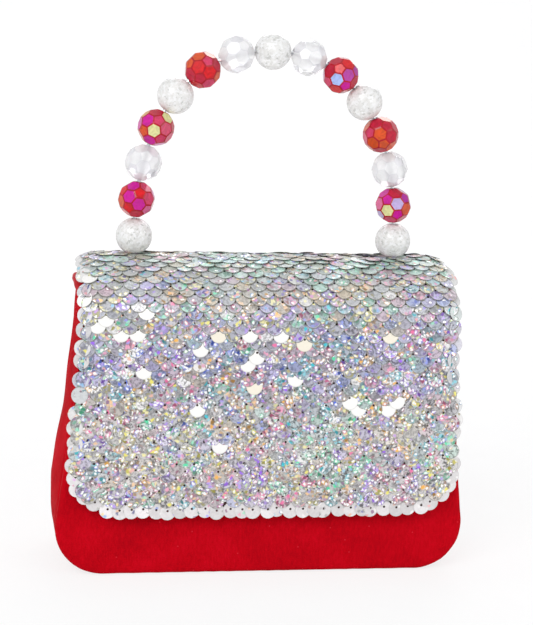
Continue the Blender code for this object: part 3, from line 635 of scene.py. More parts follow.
def edge_discs(rng):
    """Loose discs up both side edges: over the shoulders they stand up and roll outwards."""
    s = np.arange(EDGE_START, FLAP_LENGTH - 0.004, EDGE_PITCH)
    sign = np.repeat([-1.0, 1.0], len(s))
    s = np.concatenate([s, s + 0.4 * EDGE_PITCH])
    count = len(s)
    s = s + rng.normal(0.0, 0.0005, count)
    shoulder = np.interp(s, [0.081, 0.086, 0.100, 0.106], [0.0, 1.0, 1.0, 0.0])
    past = np.interp(s, [0.100, 0.106, 0.118], [0.0, 1.0, 0.0])
    behind = (rng.random(count) < 0.85) & (s < 0.070)
    out = full_half_width(s) - 0.0021 + 0.0007 * shoulder + 0.0004 * behind
    return {
        "x": sign * (out + rng.uniform(-0.0005, 0.0005, count)),
        "s": s,
        "tilt": np.radians(rng.normal(4.0, 2.0, count) - 22.0 * shoulder),
        "roll": sign * np.radians(rng.uniform(2.0, 20.0, count) * (1.0 - shoulder) + 13.0 * shoulder),
        "spin": sign * np.radians(rng.normal(6.0, 8.0, count)),
        "depth": 0.00055 - 0.0010 * shoulder - 0.0006 * past + 0.00055 * behind,
        "rise": HOLE_RISE,
        "kind": 2,
        "droop": 1.0 - 0.6 * shoulder,
    }


def lay_sequins(rng):
    """Every disc's place and set: its hole's x, length and depth, its turns, and its kind."""
    discs = {}
    for part in (field_discs(rng), hem_discs(rng), edge_discs(rng)):
        for key, value in part.items():
            discs.setdefault(key, []).append(np.broadcast_to(value, part["x"].shape))
    return {key: np.concatenate(values) for key, values in discs.items()}


# Lengths along the flap, and the grey that the film shows there; past the crown top the grey is
# darker, painted shade
BANDS = (
    (0.000, "#B9B5B8"), (0.030, "#B9B7B5"), (0.052, "#9696A4"), (0.070, "#A6A8B4"),
    (0.085, "#C9CFCE"), (0.091, "#BBCBC8"), (0.100, "#8E938E"), (0.150, "#ACAFAB"),
)
# Each line is a hue: the painted iridescence that a disc's film leans to and the colour of the
# painted glints that its grains throw, then how common it is: everywhere, more in the middle, in
# the upper front, on the crown, and in patches
HUES = (
    ("#B5AADB", "#A872F5", 0.40, 1.0, 0.0, 0.0, 1.0, 3),
    ("#8A98CE", "#607CF0", 0.00, 0.9, 0.0, 0.0, 0.5, 5),
    ("#98BEC5", "#48CEDD", 0.30, 0.7, 0.0, 0.0, 0.9, 7),
    ("#A1CBBA", "#66E8B4", 0.30, 0.0, 0.0, 1.2, 0.9, 9),
    ("#CBA9B5", "#F67EAE", 0.60, 0.0, 0.4, 0.0, 0.9, 13),
    ("#C8B79A", "#FFC060", 0.50, 0.0, 0.7, 0.0, 0.9, 17),
    ("#B0AEAE", "#F8EE7A", 0.90, -0.5, 0.0, 0.4, 0.0, 0),
)
# Middles, x and length in mm, of the discs that have turned to mirror the light: they are
# painted white, a painted reflection
WHITE_SPOTS = (
    (-43.0, 67.7), (-57.2, 65.5), (-53.8, 65.5), (-50.2, 62.7), (-43.5, 62.7), (-41.8, 49.3),
    (-17.5, 60.5), (-7.0, 61.6), (4.0, 60.5), (11.8, 58.8), (-22.5, 56.0), (-4.0, 53.2),
    (-6.8, 51.0), (10.2, 45.9), (-3.8, 43.7), (38.5, 59.4), (-23.2, 36.4), (-15.0, 24.6),
    (27.0, 36.4), (29.8, 34.2), (40.0, 34.2), (44.8, 38.1), (-60.5, 79.8), (-61.5, 73.2),
)


def rgb(code):
    return np.array(hex_colour(code)[:3])


def film_colours(x, s, rng):
    """The grey of each disc's band drawn towards a painted iridescent hue picked by chance, and
    its grains' painted glint colour.
    """
    count = len(x)
    stops = [place for place, _ in BANDS]
    greys = np.array([rgb(code) for _, code in BANDS])
    tint = np.stack([np.interp(s, stops, values) for values in greys.T], axis=1)
    middle = np.exp(-(((s - 0.055) / 0.012) ** 2))
    upper = np.exp(-(((s - 0.078) / 0.006) ** 2))
    crown = unit((s - 0.082) / 0.008)
    weights = []
    for _, _, often, in_middle, in_upper, on_crown, in_patches, seed in HUES:
        patch = in_patches * np.clip(soft_waves(x, s, seed, 0.03), -1.0, 1.0)
        weights.append(often + in_middle * middle + in_upper * upper + on_crown * crown + patch)
    weights = np.stack(weights, axis=1).clip(0.02)
    pick = np.cumsum(weights / weights.sum(axis=1, keepdims=True), axis=1)
    chosen = (rng.random(count)[:, None] > pick).sum(axis=1).clip(0, len(HUES) - 1)
    # Each disc's painted iridescent tint, and the colour of its painted glints
    painted_iridescence, grain = (np.array([rgb(hue[i]) for hue in HUES])[chosen] for i in (0, 1))
    strength = rng.uniform(0.05, 0.40, count) * (0.95 + 0.2 * middle + 0.8 * upper + 0.5 * crown)
    tint = tint + (painted_iridescence - tint) * strength[:, None]
    tint = tint * rng.normal(1.0, 0.09, count)[:, None]
    paler = 0.22 * unit((s - 0.066) / 0.010)
    return tint, grain + (1.0 - grain) * paler[:, None]


def sequin_looks(discs, rng):
    """Tint, painted glint colour, share of lit grains, painted sheen patches, rim line of painted
    shadow and lip, and mirror of every disc.
    """
    x, s, kind = discs["x"], discs["s"], discs["kind"]
    count = len(x)
    tint, glint = film_colours(x, s, rng)
    # Share of grains lit as painted glints, and below it the share of painted sheen patches
    amount = np.interp(s, [0.0, 0.040, 0.060, 0.072, 0.090], [0.42, 0.42, 0.39, 0.25, 0.10])
    amount = amount * rng.uniform(0.6, 1.4, count)
    # How strong the rim's painted lip and its dark line of painted shadow are
    line = np.interp(s, [0.030, 0.060, 0.078], [0.45, 0.80, 1.0]) * rng.uniform(0.5, 1.0, count)
    film = np.interp(s, [0.035, 0.055, 0.075, 0.095], [0.75, 0.75, 1.0, 0.8])
    film = rng.uniform(0.0, 0.9, count) * film
    mirror = np.interp(s, [0.070, 0.085], [0.30, 0.08])

    # A few discs on the front are painted paler, a painted highlight as if they faced the light;
    # the edges' are half clear, the hem's nearly white
    bright = (kind == 0) & (rng.random(count) < 0.10 * np.exp(-(((s - 0.058) / 0.02) ** 2)))
    tint[bright] = tint[bright] + (rgb("#E2E0DF") - tint[bright]) * 0.8
    hem, edge = kind == 1, kind == 2
    tint[hem] = rgb("#DEDBDB") * rng.normal(1.0, 0.07, hem.sum())[:, None]
    amount[hem], line[hem], film[hem], mirror[hem] = 0.04, 0.10, 0.16, 0.05
    glint[hem] = rgb("#F6F4F0")
    tint[edge] = tint[edge] + (rgb("#E2E0DF") - tint[edge]) * rng.uniform(0.5, 1.0, edge.sum())[:, None]
    amount[edge], film[edge], mirror[edge] = 0.06, 0.10, 0.15
    line[edge] = line[edge] * 0.2

    # Discs painted white and made mirror-like: a painted reflection of the light
    painted_white_discs = np.zeros(count, dtype=bool)
    for spot_x, spot_s in np.array(WHITE_SPOTS) * MM:
        near = np.hypot(x - spot_x, s - spot_s - 0.0026) + hem
        painted_white_discs[int(np.argmin(near))] = True
    tint[painted_white_discs] = rgb("#FFFEFC")
    tint[painted_white_discs & (rng.random(count) < 0.15)] = rgb("#FBF4E4")
    amount[painted_white_discs], line[painted_white_discs], film[painted_white_discs], mirror[painted_white_discs] = 0.0, 0.18, 0.0, 0.95
    discs["tilt"][painted_white_discs] = np.radians(7.0)
    discs["roll"][painted_white_discs & (kind == 0)] = 0.0
    return {"tint": tint, "glint": glint, "amount": amount, "line": line, "film": film, "mirror": mirror}


def hung_discs(pick):
    """Corners of punched discs, in their own plane and in place: four rings each, from the hole
    over the rim round to the back.

    A disc is flat. It starts in the flap's own tangent plane at its hole, is tilted so that its
    lower edge lifts, rolled sideways and spun about the hole.
    """
    x, s, angle = pick["x"], pick["s"], full_turn(SEQUIN_STEPS)
    circle = points_of(np.cos(angle), np.sin(angle))
    hole_at = points_of(0.0, pick["rise"])[:, None]
    hole = hole_at + SEQUIN_HOLE * circle
    rim = np.broadcast_to(SEQUIN_RADIUS * circle, hole.shape)
    flat = np.stack([hole, rim, rim, hole], axis=1)
    under = np.array([0.0, 0.0, -SEQUIN_THICKNESS, -SEQUIN_THICKNESS])[:, None, None]

    local = flat - hole_at[:, None]
    across, along = turned(local[..., 0], local[..., 1], pick["spin"][:, None, None])
    _, normal, tangent = flap_frame(s - 0.0010)
    anchor, anchor_normal, _ = flap_frame(s)
    anchor = anchor - (pick["depth"] + edge_curl(s, x))[:, None] * anchor_normal
    anchor[:, 0] = x
    fall = np.arctan((edge_curl(s, x + 0.0005) - edge_curl(s, x - 0.0005)) / 0.001)
    up, out = turned(tangent, normal, pick["tilt"][:, None])
    side, out = turned(np.array([1.0, 0.0, 0.0]), out, (pick["roll"] + pick["droop"] * fall)[:, None])
    anchor, side, up, out = (part[:, None, None] for part in (anchor, side, up, out))
    return flat, anchor + across[..., None] * side + along[..., None] * up + under * out


def sequin_cloth(name, discs, looks, chosen, front, back):
    """The chosen discs as one mesh, each closed from its last ring to its first."""
    flat, points = hung_discs({key: value[chosen] for key, value in discs.items()})
    count, size = len(points), 4 * SEQUIN_STEPS
    one = grid_quads(4, SEQUIN_STEPS, wrap=True)
    closing = one[:SEQUIN_STEPS] + SEQUIN_STEPS * np.array([3, 3, -1, -1])
    one = np.concatenate([one, closing])[:, ::-1]
    made = piece(name, points, (np.arange(count)[:, None, None] * size + one).reshape(-1, 4), front)
    mesh = made.data
    mesh.shade_flat()
    mesh.materials.append(back)
    ring = np.tile(np.repeat([0, 1, 2, 3], SEQUIN_STEPS), count)
    mesh.polygons.foreach_set("material_index", (ring >= 2).astype(np.int32))

    # The pattern's own place and turn on each disc, and how far each corner is from its middle
    scatter = np.random.default_rng(41)
    shift = scatter.uniform(0.0, 90.0, (count, 1, 2))
    turn = scatter.uniform(0.0, math.pi, count)[:, None]
    flat = flat.reshape(count, -1, 2) / MM
    on_edge = np.where(np.repeat(ring, 4) == 1, 0.82, 1.0)[:, None]
    corner = read(mesh.loops, "vertex_index", kind=np.int32)
    add_uv(mesh, "disc", flat.reshape(-1, 2)[corner] * on_edge)
    add_uv(mesh, "glitter", points_of(*turned(*np.moveaxis(flat, -1, 0), turn)) * [1.10, 0.85] + shift)
    for key, value in looks.items():
        value = np.repeat(value[chosen], size, axis=0).astype(np.float32)
        if value.ndim == 2:
            value = np.pad(value, ((0, 0), (0, 1)), constant_values=1.0)
            mesh.attributes.new(key, "FLOAT_COLOR", "POINT").data.foreach_set("color", value.ravel())
        else:
            mesh.attributes.new(key, "FLOAT", "POINT").data.foreach_set("value", value)
    mesh.update()
    return made


# Beads


def bead_turn(number):
    """The bead's own turn: lean with the wire, then a little further round it for each bead."""
    across, _, up = np.gradient(BEAD_MIDDLES, axis=0)[number]
    lean = {0: 0.0, len(BEADS) - 1: math.pi}.get(number, math.atan2(across, up))
    return Matrix.Rotation(lean, 3, "Y") @ Matrix.Rotation(TURN_PER_BEAD * (number + 1), 3, "Z")


def round_bead(name, number, material):
    """A turned ball: its profile is an arc from bore mouth to bore mouth, then back down the bore."""
    first = math.asin((BORE_RADIUS + 0.0005) / BEAD_RADIUS)
    arc = np.linspace(first, math.pi - first, 40)
    neck = BEAD_RADIUS * math.cos(first) - 0.0004
    radius = [*(BEAD_RADIUS * np.sin(arc)), BORE_RADIUS, BORE_RADIUS]
    height = [*(BEAD_RADIUS * np.cos(arc)), -neck, neck]
    radius, height = (np.array([*values, values[0]])[:, None] for values in (radius, height))
    angle = full_turn(64)
    lumps = 1.0 + 0.004 * soft_waves(angle * 0.01, height, number + 30, 0.012)
    x, y = radius * np.cos(angle) * lumps, radius * np.sin(angle) * lumps
    points = points_of(x, y, height)
    points = points @ np.array(bead_turn(number)).T + BEAD_MIDDLES[number]
    return sheet(name, points, material, wrap=True, recalc=True)


def grow_to(bm, radius):
    """Scales a mesh until its outermost corners are this far out."""
    reach = max(corner.co.length for corner in bm.verts)
    bmesh.ops.scale(bm, vec=Vector((1, 1, 1)) * (radius / reach), verts=bm.verts)


def football(bevel):
    """A cut bead: an icosahedron with its corners cut off, edges polished round, then bored."""
    ball, drill = bmesh.new(), bmesh.new()
    bmesh.ops.create_icosphere(ball, subdivisions=1, radius=BEAD_RADIUS)
    bmesh.ops.bevel(ball, geom=ball.verts[:], offset=100 / 3, offset_type="PERCENT", affect="VERTICES")
    grow_to(ball, BEAD_RADIUS)
    bmesh.ops.recalc_face_normals(ball, faces=ball.faces)
    directions = np.array([face.normal[:] for face in ball.faces])
    bmesh.ops.bevel(ball, geom=ball.edges[:], offset=bevel, segments=1, profile=0.5, affect="EDGES")
    grow_to(ball, CUT_BEAD_RADIUS)
    bmesh.ops.create_cone(
        drill, cap_ends=True, segments=20, radius1=BORE_RADIUS, radius2=BORE_RADIUS, depth=4 * BEAD_RADIUS
    )
    helpers = []
    for name, bm in (("football", ball), ("drill", drill)):
        mesh = bpy.data.meshes.new(name)
        bm.to_mesh(mesh)
        bm.free()
        helpers.append(add_object(name, mesh))
    body, drill = helpers
    hole = body.modifiers.new("bore", "BOOLEAN")
    hole.object = drill
    hole.operation = "DIFFERENCE"
    hole.solver = "EXACT"
    bpy.context.view_layer.update()
    graph = bpy.context.evaluated_depsgraph_get()
    cut = bpy.data.meshes.new_from_object(body.evaluated_get(graph), depsgraph=graph)
    for helper in helpers:
        bpy.data.objects.remove(helper)
    return cut, directions


# The beads' own reds and the painted reflections of their iridescent coat, and where each is
# painted: from the facet that faces the front outwards
COAT_AND_REFLECTION_COLOURS = {
    "scarlet": "#D80A18", "crimson": "#C01838", "rose": "#D43E66", "pink": "#E06C9A",
    "magenta": "#CE1098", "purple": "#A81492", "orange": "#D8501E", "gold": "#D89A3C",
    "straw": "#DEDA9A", "lilac": "#C0ACDC", "sky": "#A9BCF2",
}
RED_FACET_REFLECTIONS = {
    1: "scarlet scarlet magenta magenta rose orange rose magenta crimson pink",
    3: "magenta straw rose orange rose crimson gold magenta rose crimson",
    5: "scarlet orange crimson scarlet orange rose crimson orange crimson rose",
    9: "scarlet crimson purple sky crimson magenta scarlet purple crimson rose",
    11: "orange crimson orange crimson orange rose crimson orange crimson magenta",
    13: "magenta lilac crimson magenta orange straw purple rose purple pink",
}
# The clear beads' facets, near white, a little lighter or darker: painted light and shade
CLEAR_FACET_LIGHT_AND_SHADE = ("#FDFDFD", "#FFFFFF", "#F7F6F9", "#FCFCFC", "#F3F2F6")
TO_CAMERA = (-0.16, -0.97, 0.18)


def cut_bead(name, number, shape, palette, line_colour, material):
    """A football bead in its place, each facet painted one colour of the palette and its edges in
    the line's.

    The palette starts with the facet that faces the front and runs outwards and round to the
    back, so its colours are painted light: for the red beads their own red with painted
    reflections of the coat, for the clear beads facets painted a little lighter or darker.
    """
    mesh, directions = shape[0].copy(), shape[1]
    mesh.name = name
    normal, centre = read(mesh.polygons, "normal", 3), read(mesh.polygons, "center", 3)
    facing = normal @ directions.T
    on_facet = (facing.max(axis=1) > 0.9995) & ((centre * normal).sum(axis=1) > 0.0)
    turn = np.array(bead_turn(number))
    rng = np.random.default_rng(100 + number)
    frontness = directions @ turn.T @ np.array(TO_CAMERA)
    stray = rng.normal(0.0, 0.12, len(directions)) * (frontness < 0.93)
    colours = np.array([hex_colour(code) for code in palette])
    dyed = np.empty((len(directions), 4))
    # Each facet's painted colour, by how squarely it faces the camera: own colour and painted reflection,
    # not dye
    dyed[np.argsort(-frontness + stray)] = colours[np.arange(len(directions)) % len(colours)]
    colour = np.where(on_facet[:, None], dyed[facing.argmax(axis=1)], hex_colour(line_colour))
    colour = np.repeat(colour, read(mesh.polygons, "loop_total", kind=np.int32), axis=0)
    store = mesh.attributes.new("facet", "FLOAT_COLOR", "CORNER")
    store.data.foreach_set("color", colour.astype(np.float32).ravel())
    place = read(mesh.vertices, "co", 3) @ turn.T + BEAD_MIDDLES[number]
    mesh.vertices.foreach_set("co", place.astype(np.float32).ravel())
    mesh.shade_flat()
    mesh.update()
    mesh.materials.clear()
    mesh.materials.append(material)
    return add_object(name, mesh)


# Materials


def grained(name, uv_map, scale, detail, stops, relief=0.0, gloss=(), **sockets):
    """A material of one noise, so many grains to a mm of a UV map or to a metre of the object.

    The noise colours the surface, and where asked embosses it and varies its roughness.
    """
    made, node, shader = new_material(name)
    place = node("UVMap", uv_map=uv_map) if uv_map else node("TexCoord").outputs["Object"]
    grain = node("TexNoise", node("Mapping", place, Scale=scale), 1.0, detail)
    feed(shader, Base_Color=node("ValToRGB", grain, stops=stops), **sockets)
    if gloss:
        feed(shader, Roughness=node("MapRange", grain, To_Min=gloss[0], To_Max=gloss[1]))
    if relief:
        feed(shader, Normal=node("Bump", Height=grain, Strength=relief, Distance=0.0001))
    return made


def dyed_taffeta(name, gloss, roughness):
    """Polyester taffeta, plain woven and piece dyed red, bonded to board: matt with a fine
    upright grain, slightly lighter threads and a few pale slubs. Threads 0.25 mm apart are
    drawn at 0.55 mm so that they show. The grain is 0.9 mm wide over clouds of 17 mm, the
    slubs lie 14 mm apart, and where the cloth is rolled tight it shines more."""
    made, node, shader = new_material(name)
    place = node("UVMap", uv_map="cloth")
    mottle = node("TexNoise", node("Mapping", place, Scale=(1.0, 0.35, 1.0)), 1.1, 4.0, 0.65)
    cloud = node("TexNoise", place, 0.06, 2.0)
    both = node("Math", mottle, cloud, operation="ADD")
    both = node("Math", both, 0.5, operation="MULTIPLY")
    colour = node("ValToRGB", both, stops=[(0.35, "#A80212"), (0.5, "#B90314"), (0.65, "#C6051B")])
    slub = node("TexVoronoi", place, 0.07, voronoi_dimensions="2D")
    speck = node("MapRange", slub, From_Min=0.020, From_Max=0.011)
    tone = node("Mix", speck, colour, hex_colour("#CC2836"), data_type="RGBA")
    weft, warp = (
        node("TexWave", place, 0.58, Distortion=0.6, Detail=1.0, bands_direction=way).outputs["Fac"]
        for way in "YX"
    )
    weave = node("Math", weft, warp, operation="MULTIPLY")
    height = node("Math", weave, mottle, operation="ADD")
    bump = node("Bump", Height=height, Strength=0.35, Distance=0.00008)
    feed(shader, Base_Color=tone, Normal=bump, Roughness=roughness, IOR=1.5, Specular_IOR_Level=gloss)
    return made


def lining_satin():
    """Polyester lining satin: floats of weft lie flat, so it is smooth with a soft streaky shine.
    A streak is 4 mm long and 0.5 mm wide."""
    return grained(
        "red lining satin", "cloth", (0.25, 2.2, 1.0), 5.0, [(0.3, "#93060F"), (0.7, "#B4101F")],
        relief=0.25, gloss=(0.32, 0.5), IOR=1.5, Sheen_Weight=0.2, Sheen_Roughness=0.3,
    )


def ground_net():
    """Nylon net under the sequins, dyed wine, with holes of 0.7 mm. Its colour is painted nearly
    black: its own wine darkened by painted shade, the shade of the discs over it."""
    made, node, shader = new_material("wine nylon net in painted shade")
    place, edge = node("UVMap", uv_map="cloth"), "DISTANCE_TO_EDGE"
    cell = node("TexVoronoi", place, 1.4, voronoi_dimensions="2D", feature=edge)
    # The near-black stops are the net's wine darkened by painted shade
    colour = node("ValToRGB", cell, stops=[(0.0, "#4C1519"), (0.12, "#260A0C")])
    bump = node("Bump", Height=cell, Strength=0.4, Distance=0.0001)
    feed(shader, Base_Color=colour, Normal=bump, Roughness=0.8, IOR=1.53)
    return made


# The colours of the painted glints: what embossed grains mirror, by chance
RAINBOW = (
    (0.0, "#FFEA68"), (0.12, "#ECA654"), (0.22, "#FF9C8C"), (0.32, "#E070A8"),
    (0.43, "#DC88E4"), (0.53, "#9068E0"), (0.63, "#8C80F4"), (0.72, "#5C78DC"),
    (0.80, "#60C4F0"), (0.88, "#3CACA8"), (0.95, "#7CEAB8"), (1.0, "#D0F278"),
)


def hologram_film():
    """Polyester film, vacuum coated and embossed, then punched into discs.

    Embossed grains about 1 mm wide mirror one colour each, painted into the base colour as glints,
    many with a painted white highlight at the heart, over grey film that is painted finely light and
    dark. Wider patches of painted sheen lie between them. The punched rim is a dark line, partly the
    cut edge's own dark and partly painted shadow under the lifted edge, with a bright lip inside it,
    a painted highlight. Faint pressed rings 0.45 mm apart break up the shine.
    """
    made, node, shader = new_material("embossed hologram film")
    tint, glint = (node("Attribute", attribute_name=key).outputs["Color"] for key in ("tint", "glint"))
    looks = ("amount", "line", "film", "mirror")
    amount, line, film, mirror = (node("Attribute", attribute_name=key).outputs["Fac"] for key in looks)
    spot = node("UVMap", uv_map="glitter")
    stray = node("TexNoise", spot, 1.3, 1.0).outputs["Color"]
    bent = node("VectorMath", stray, spot, operation="ADD")

    # Painted sheen patches, then painted glints, each of one colour: how many to a mm, the share lit,
    # from where each fades in, how white
    kinds = ((0.85, film, 0.72, 0.25, 0.85, 0.28), (0.75, amount, 0.66, 0.32, 0.92, 0.0))
    layers = []
    for scale, share, outer, inner, most, pale in kinds:
        grain = node("TexVoronoi", bent, scale, voronoi_dimensions="2D")
        red, green, blue = node("SeparateColor", grain.outputs["Color"]).outputs
        lit = node("Math", red, share, operation="LESS_THAN")
        halo = node("MapRange", grain, outer, inner, 0.0, most, interpolation_type="SMOOTHSTEP")
        halo = node("Math", halo, lit, operation="MULTIPLY")
        own = node("Math", blue, 0.6, operation="LESS_THAN")
        colour = node("Mix", own, node("ValToRGB", green, stops=RAINBOW), glint, data_type="RGBA")
        colour = node("Mix", pale, colour, hex_colour("#E9E6EC"), data_type="RGBA")
        deep = node("Math", blue, 9.0, operation="MULTIPLY")
        deep = node("MapRange", node("Math", deep, operation="FRACT"), 0.32, 0.56, 0.37)
        layers.append((node("VectorMath", colour, deep, operation="SCALE"), halo))
    # The white hearts of lit grains: painted highlights
    heart = node("MapRange", grain, 0.44, 0.22, interpolation_type="SMOOTHSTEP")
    white = node("Math", blue, 0.20, operation="GREATER_THAN")
    white = node("Math", white, lit, operation="MULTIPLY")
    layers.append((hex_colour("#FFFFFF"), node("Math", heart, white, operation="MULTIPLY")))

    # The punched rim: the bright lip, a painted highlight, then the dark line, partly the cut edge's
    # own dark and partly painted shadow under the lifted edge
    radius = node("VectorMath", node("UVMap", uv_map="disc"), operation="LENGTH")
    for near, far, most, code in ((2.16, 2.30, 0.3, "#F0F0EE"), (2.42, 2.56, 0.95, "#62644F")):
        rim = node("MapRange", radius, near, far, 0.0, most)
        layers.append((hex_colour(code), node("Math", rim, line, operation="MULTIPLY")))

    # Painted light and shade: the grey film is darker in fine spots and lighter in others, the more
    # so where there are many grains
    dark, light = (node("Math", amount, by, 1.0, operation="MULTIPLY_ADD") for by in (-1.3, 0.7))
    shade = node("MapRange", node("TexNoise", bent, 1.1, 3.0), 0.40, 0.56, dark, light)
    base = node("VectorMath", tint, shade, operation="SCALE")
    for over, share in layers:
        base = node("Mix", share, base, over, data_type="RGBA")
    shine = node("MapRange", halo, To_Min=mirror, To_Max=0.9)
    haze = node("MapRange", mirror, From_Max=0.3, To_Min=0.5, To_Max=0.3)
    rings = node("Math", node("Math", radius, 14.0, operation="MULTIPLY"), operation="SINE")
    bump = node("Bump", Height=rings, Strength=0.12, Distance=0.00003)
    feed(shader, Base_Color=base, Metallic=shine, Roughness=haze, Normal=bump)
    return made


def film_back():
    """The uncoated back of the film: dull grey with an olive cast, mottled every 1.3 mm."""
    greys = [(0.3, "#A2A394"), (0.7, "#C6C7BD")]
    return grained("film back", "glitter", (0.8, 0.8, 0.8), 3.0, greys, Roughness=0.5)


def coated_acrylic(name, grain_shade, **sockets):
    """Acrylic cut into flat facets, each painted with the colour it shows, and fine swirls of cast
    resin.

    Under the iridescent coat of the red beads every facet mirrors one colour, painted in as a
    reflection; the clear beads differ only in how light their facets are painted. The swirls are
    2.4 mm wide.
    """
    made, node, shader = new_material(name)
    facet = node("Attribute", attribute_name="facet")
    swirl = node("TexNoise", node("TexCoord").outputs["Object"], 420.0, 2.0, Distortion=1.5)
    shade = node("MapRange", swirl, 0.3, 0.7, grain_shade, 1.05)
    feed(shader, Base_Color=node("VectorMath", facet, shade, operation="SCALE"), IOR=1.49, **sockets)
    return made


def crackle_acrylic():
    """Acrylic shocked in cold water: clear, filled with fine white cracks 0.3 to 1 mm apart,
    which show as bright flakes over a slightly grey body."""
    made, node, shader = new_material("crackled acrylic")
    place = node("TexCoord").outputs["Object"]
    warp = node("TexNoise", place, 900.0, 2.0).outputs["Color"]
    bent = node("VectorMath", warp, (0.0012, 0.0012, 0.0012), operation="MULTIPLY")
    bent = node("VectorMath", bent, place, operation="ADD")
    flake = node("SeparateColor", node("TexVoronoi", bent, 1500.0).outputs["Color"])
    body = node("ValToRGB", node("TexNoise", place, 260.0, 2.0), stops=[(0.35, "#F0F0EE"), (0.6, "#FBFAF8")])
    whites = [(0.0, "#C8C8C4"), (0.15, "#ECEBE8"), (0.55, "#F4F3F0"), (0.75, "#FFFFFF")]
    colour = node("Mix", 0.85, body, node("ValToRGB", flake, stops=whites), data_type="RGBA")
    bump = node("Bump", Height=flake.outputs["Green"], Strength=0.25, Distance=0.0001)
    feed(shader, Base_Color=colour, Normal=bump, Roughness=0.18, IOR=1.49, Transmission_Weight=0.25)
    return made


def grey_board():
    """Pressed fibre board: flat, cream-grey, with short fibres, 1.7 mm long and 0.4 mm high."""
    creams = [(0.35, "#B4A98F"), (0.65, "#D2C8B0")]
    scale = (600.0, 600.0, 2400.0)
    return grained("pressed fibre board", None, scale, 5.0, creams, 0.3, Roughness=0.9, IOR=1.5)


def plated_steel(name, light, dark, roughness):
    """Nickel-plated steel: bright, with faint rubbed spots of 0.7 mm."""
    stops, gloss = [(0.3, dark), (0.7, light)], (roughness, roughness + 0.15)
    return grained(name, None, (1500.0, 1500.0, 1500.0), 3.0, stops, gloss=gloss, Metallic=1.0)


# Build


def build_body():
    taffeta, satin = dyed_taffeta("red dyed taffeta", 0.03, 0.7), lining_satin()
    rolled = dyed_taffeta("red dyed taffeta rolled tight", 0.1, 0.45)
    stands_for = (
        (panel_cloth("front_panel_cloth", -1, 1, taffeta), ("front_panel",), "red_cloth"),
        (panel_cloth("back_panel_cloth", 1, 2, taffeta), ("back_panel",), "red_cloth"),
        (gusset_cloth("gusset_cloth", taffeta), ("gusset",), "red_cloth"),
        (gusset_edging("left_rolled_edge", -1, rolled), ("left_gusset_edging",), "red_cloth"),
        (gusset_edging("right_rolled_edge", 1, rolled), ("right_gusset_edging",), "red_cloth"),
        (bag_lining("bag_lining", satin), ("front_lining", "back_lining", "gusset_lining"), "satin_lining"),
    )
    for made, nodes, slot in stands_for:
        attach(made, "body")
        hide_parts(*nodes)
    return taffeta


def build_flap(taffeta):
    net, film, back_film = ground_net(), hologram_film(), film_back()
    front_bend = ("flap_crown", "flap_front", (0, -0.0119, 0.1035), (0, -0.02455, 0.0924))
    back_bend = ("body", "flap_crown", (0, 0.0229, 0.0926), (0, 0.0106, 0.1037))
    rng = np.random.default_rng(7)
    discs = lay_sequins(rng)
    looks = sequin_looks(discs, rng)
    in_front = discs["s"] < CROWN_START
    front, back = (0.0, CROWN_START), (CROWN_START, FLAP_LENGTH)
    net_cloth, lining_cloth = (net_depth, NET, NET_INSET, net), (lining_depth, LINING, LINING_INSET, taffeta)
    made = (
        (sequin_cloth("sequins_front", discs, looks, in_front, film, back_film), front_bend,
         ("front_sequins", "front_fold_sequins"), "sequins"),
        (sequin_cloth("sequins_back", discs, looks, ~in_front, film, back_film), back_bend,
         ("crown_sequins", "back_fold_sequins", "tail_sequins"), "sequins"),
        (flap_layer("sequin_net_front", *front, *net_cloth), front_bend, (), "red_cloth"),
        (flap_layer("sequin_net_back", *back, *net_cloth), back_bend, (), "red_cloth"),
        (flap_layer("flap_lining_front", *front, *lining_cloth), front_bend,
         ("front_flap_lining", "front_fold_lining"), "red_cloth"),
        (flap_layer("flap_lining_back", *back, *lining_cloth), back_bend,
         ("crown_lining", "back_fold_lining", "tail_lining"), "red_cloth"),
    )
    for obj, bend, nodes, slot in made:
        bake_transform(obj)
        if nodes:
            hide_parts(*nodes)


def build_handle():
    red = coated_acrylic(
        "coated red acrylic", 0.72,
        Roughness=0.12, Specular_IOR_Level=0.25, Coat_Weight=0.15, Coat_Roughness=0.03,
    )
    clear = coated_acrylic("clear cut acrylic", 0.97, Roughness=0.05, Transmission_Weight=0.5)
    crackle = crackle_acrylic()
    red_shape, clear_shape = football(0.00028), football(0.00012)
    for index, (name, kind) in enumerate(zip(BEADS, STRINGING)):
        if kind == "crackle":
            made = round_bead(f"{name}_ball", index, crackle)
        elif kind == "red":
            palette = [COAT_AND_REFLECTION_COLOURS[colour] for colour in RED_FACET_REFLECTIONS[index].split()]
            made = cut_bead(f"{name}_cut", index, red_shape, palette, "#B0041C", red)
        else:
            made = cut_bead(f"{name}_cut", index, clear_shape, CLEAR_FACET_LIGHT_AND_SHADE, "#EFEEF2", clear)
        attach(made, "handle")
        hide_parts(name)


def dress_frame():
    """Materials for the CAD nodes that stay."""
    boards = "front_stiffener back_stiffener base_board crown_board front_flap_board"
    fittings = "left_washer right_washer left_crimp right_crimp left_wire_end right_wire_end handle_wire"
    for material, nodes in (
        (grey_board(), boards),
        (plated_steel("nickel-plated magnet steel", "#A9ABB0", "#85878C", 0.3), "panel_magnet flap_magnet"),
        (plated_steel("drawn steel wire", "#D0D2D5", "#B0B2B6", 0.22), fittings),
    ):
        for name in nodes.split():
            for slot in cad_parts[name].material_slots:
                slot.link = "OBJECT"
                slot.material = material
            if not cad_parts[name].material_slots:
                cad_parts[name].data.materials.append(material)


# Camera, floor and light


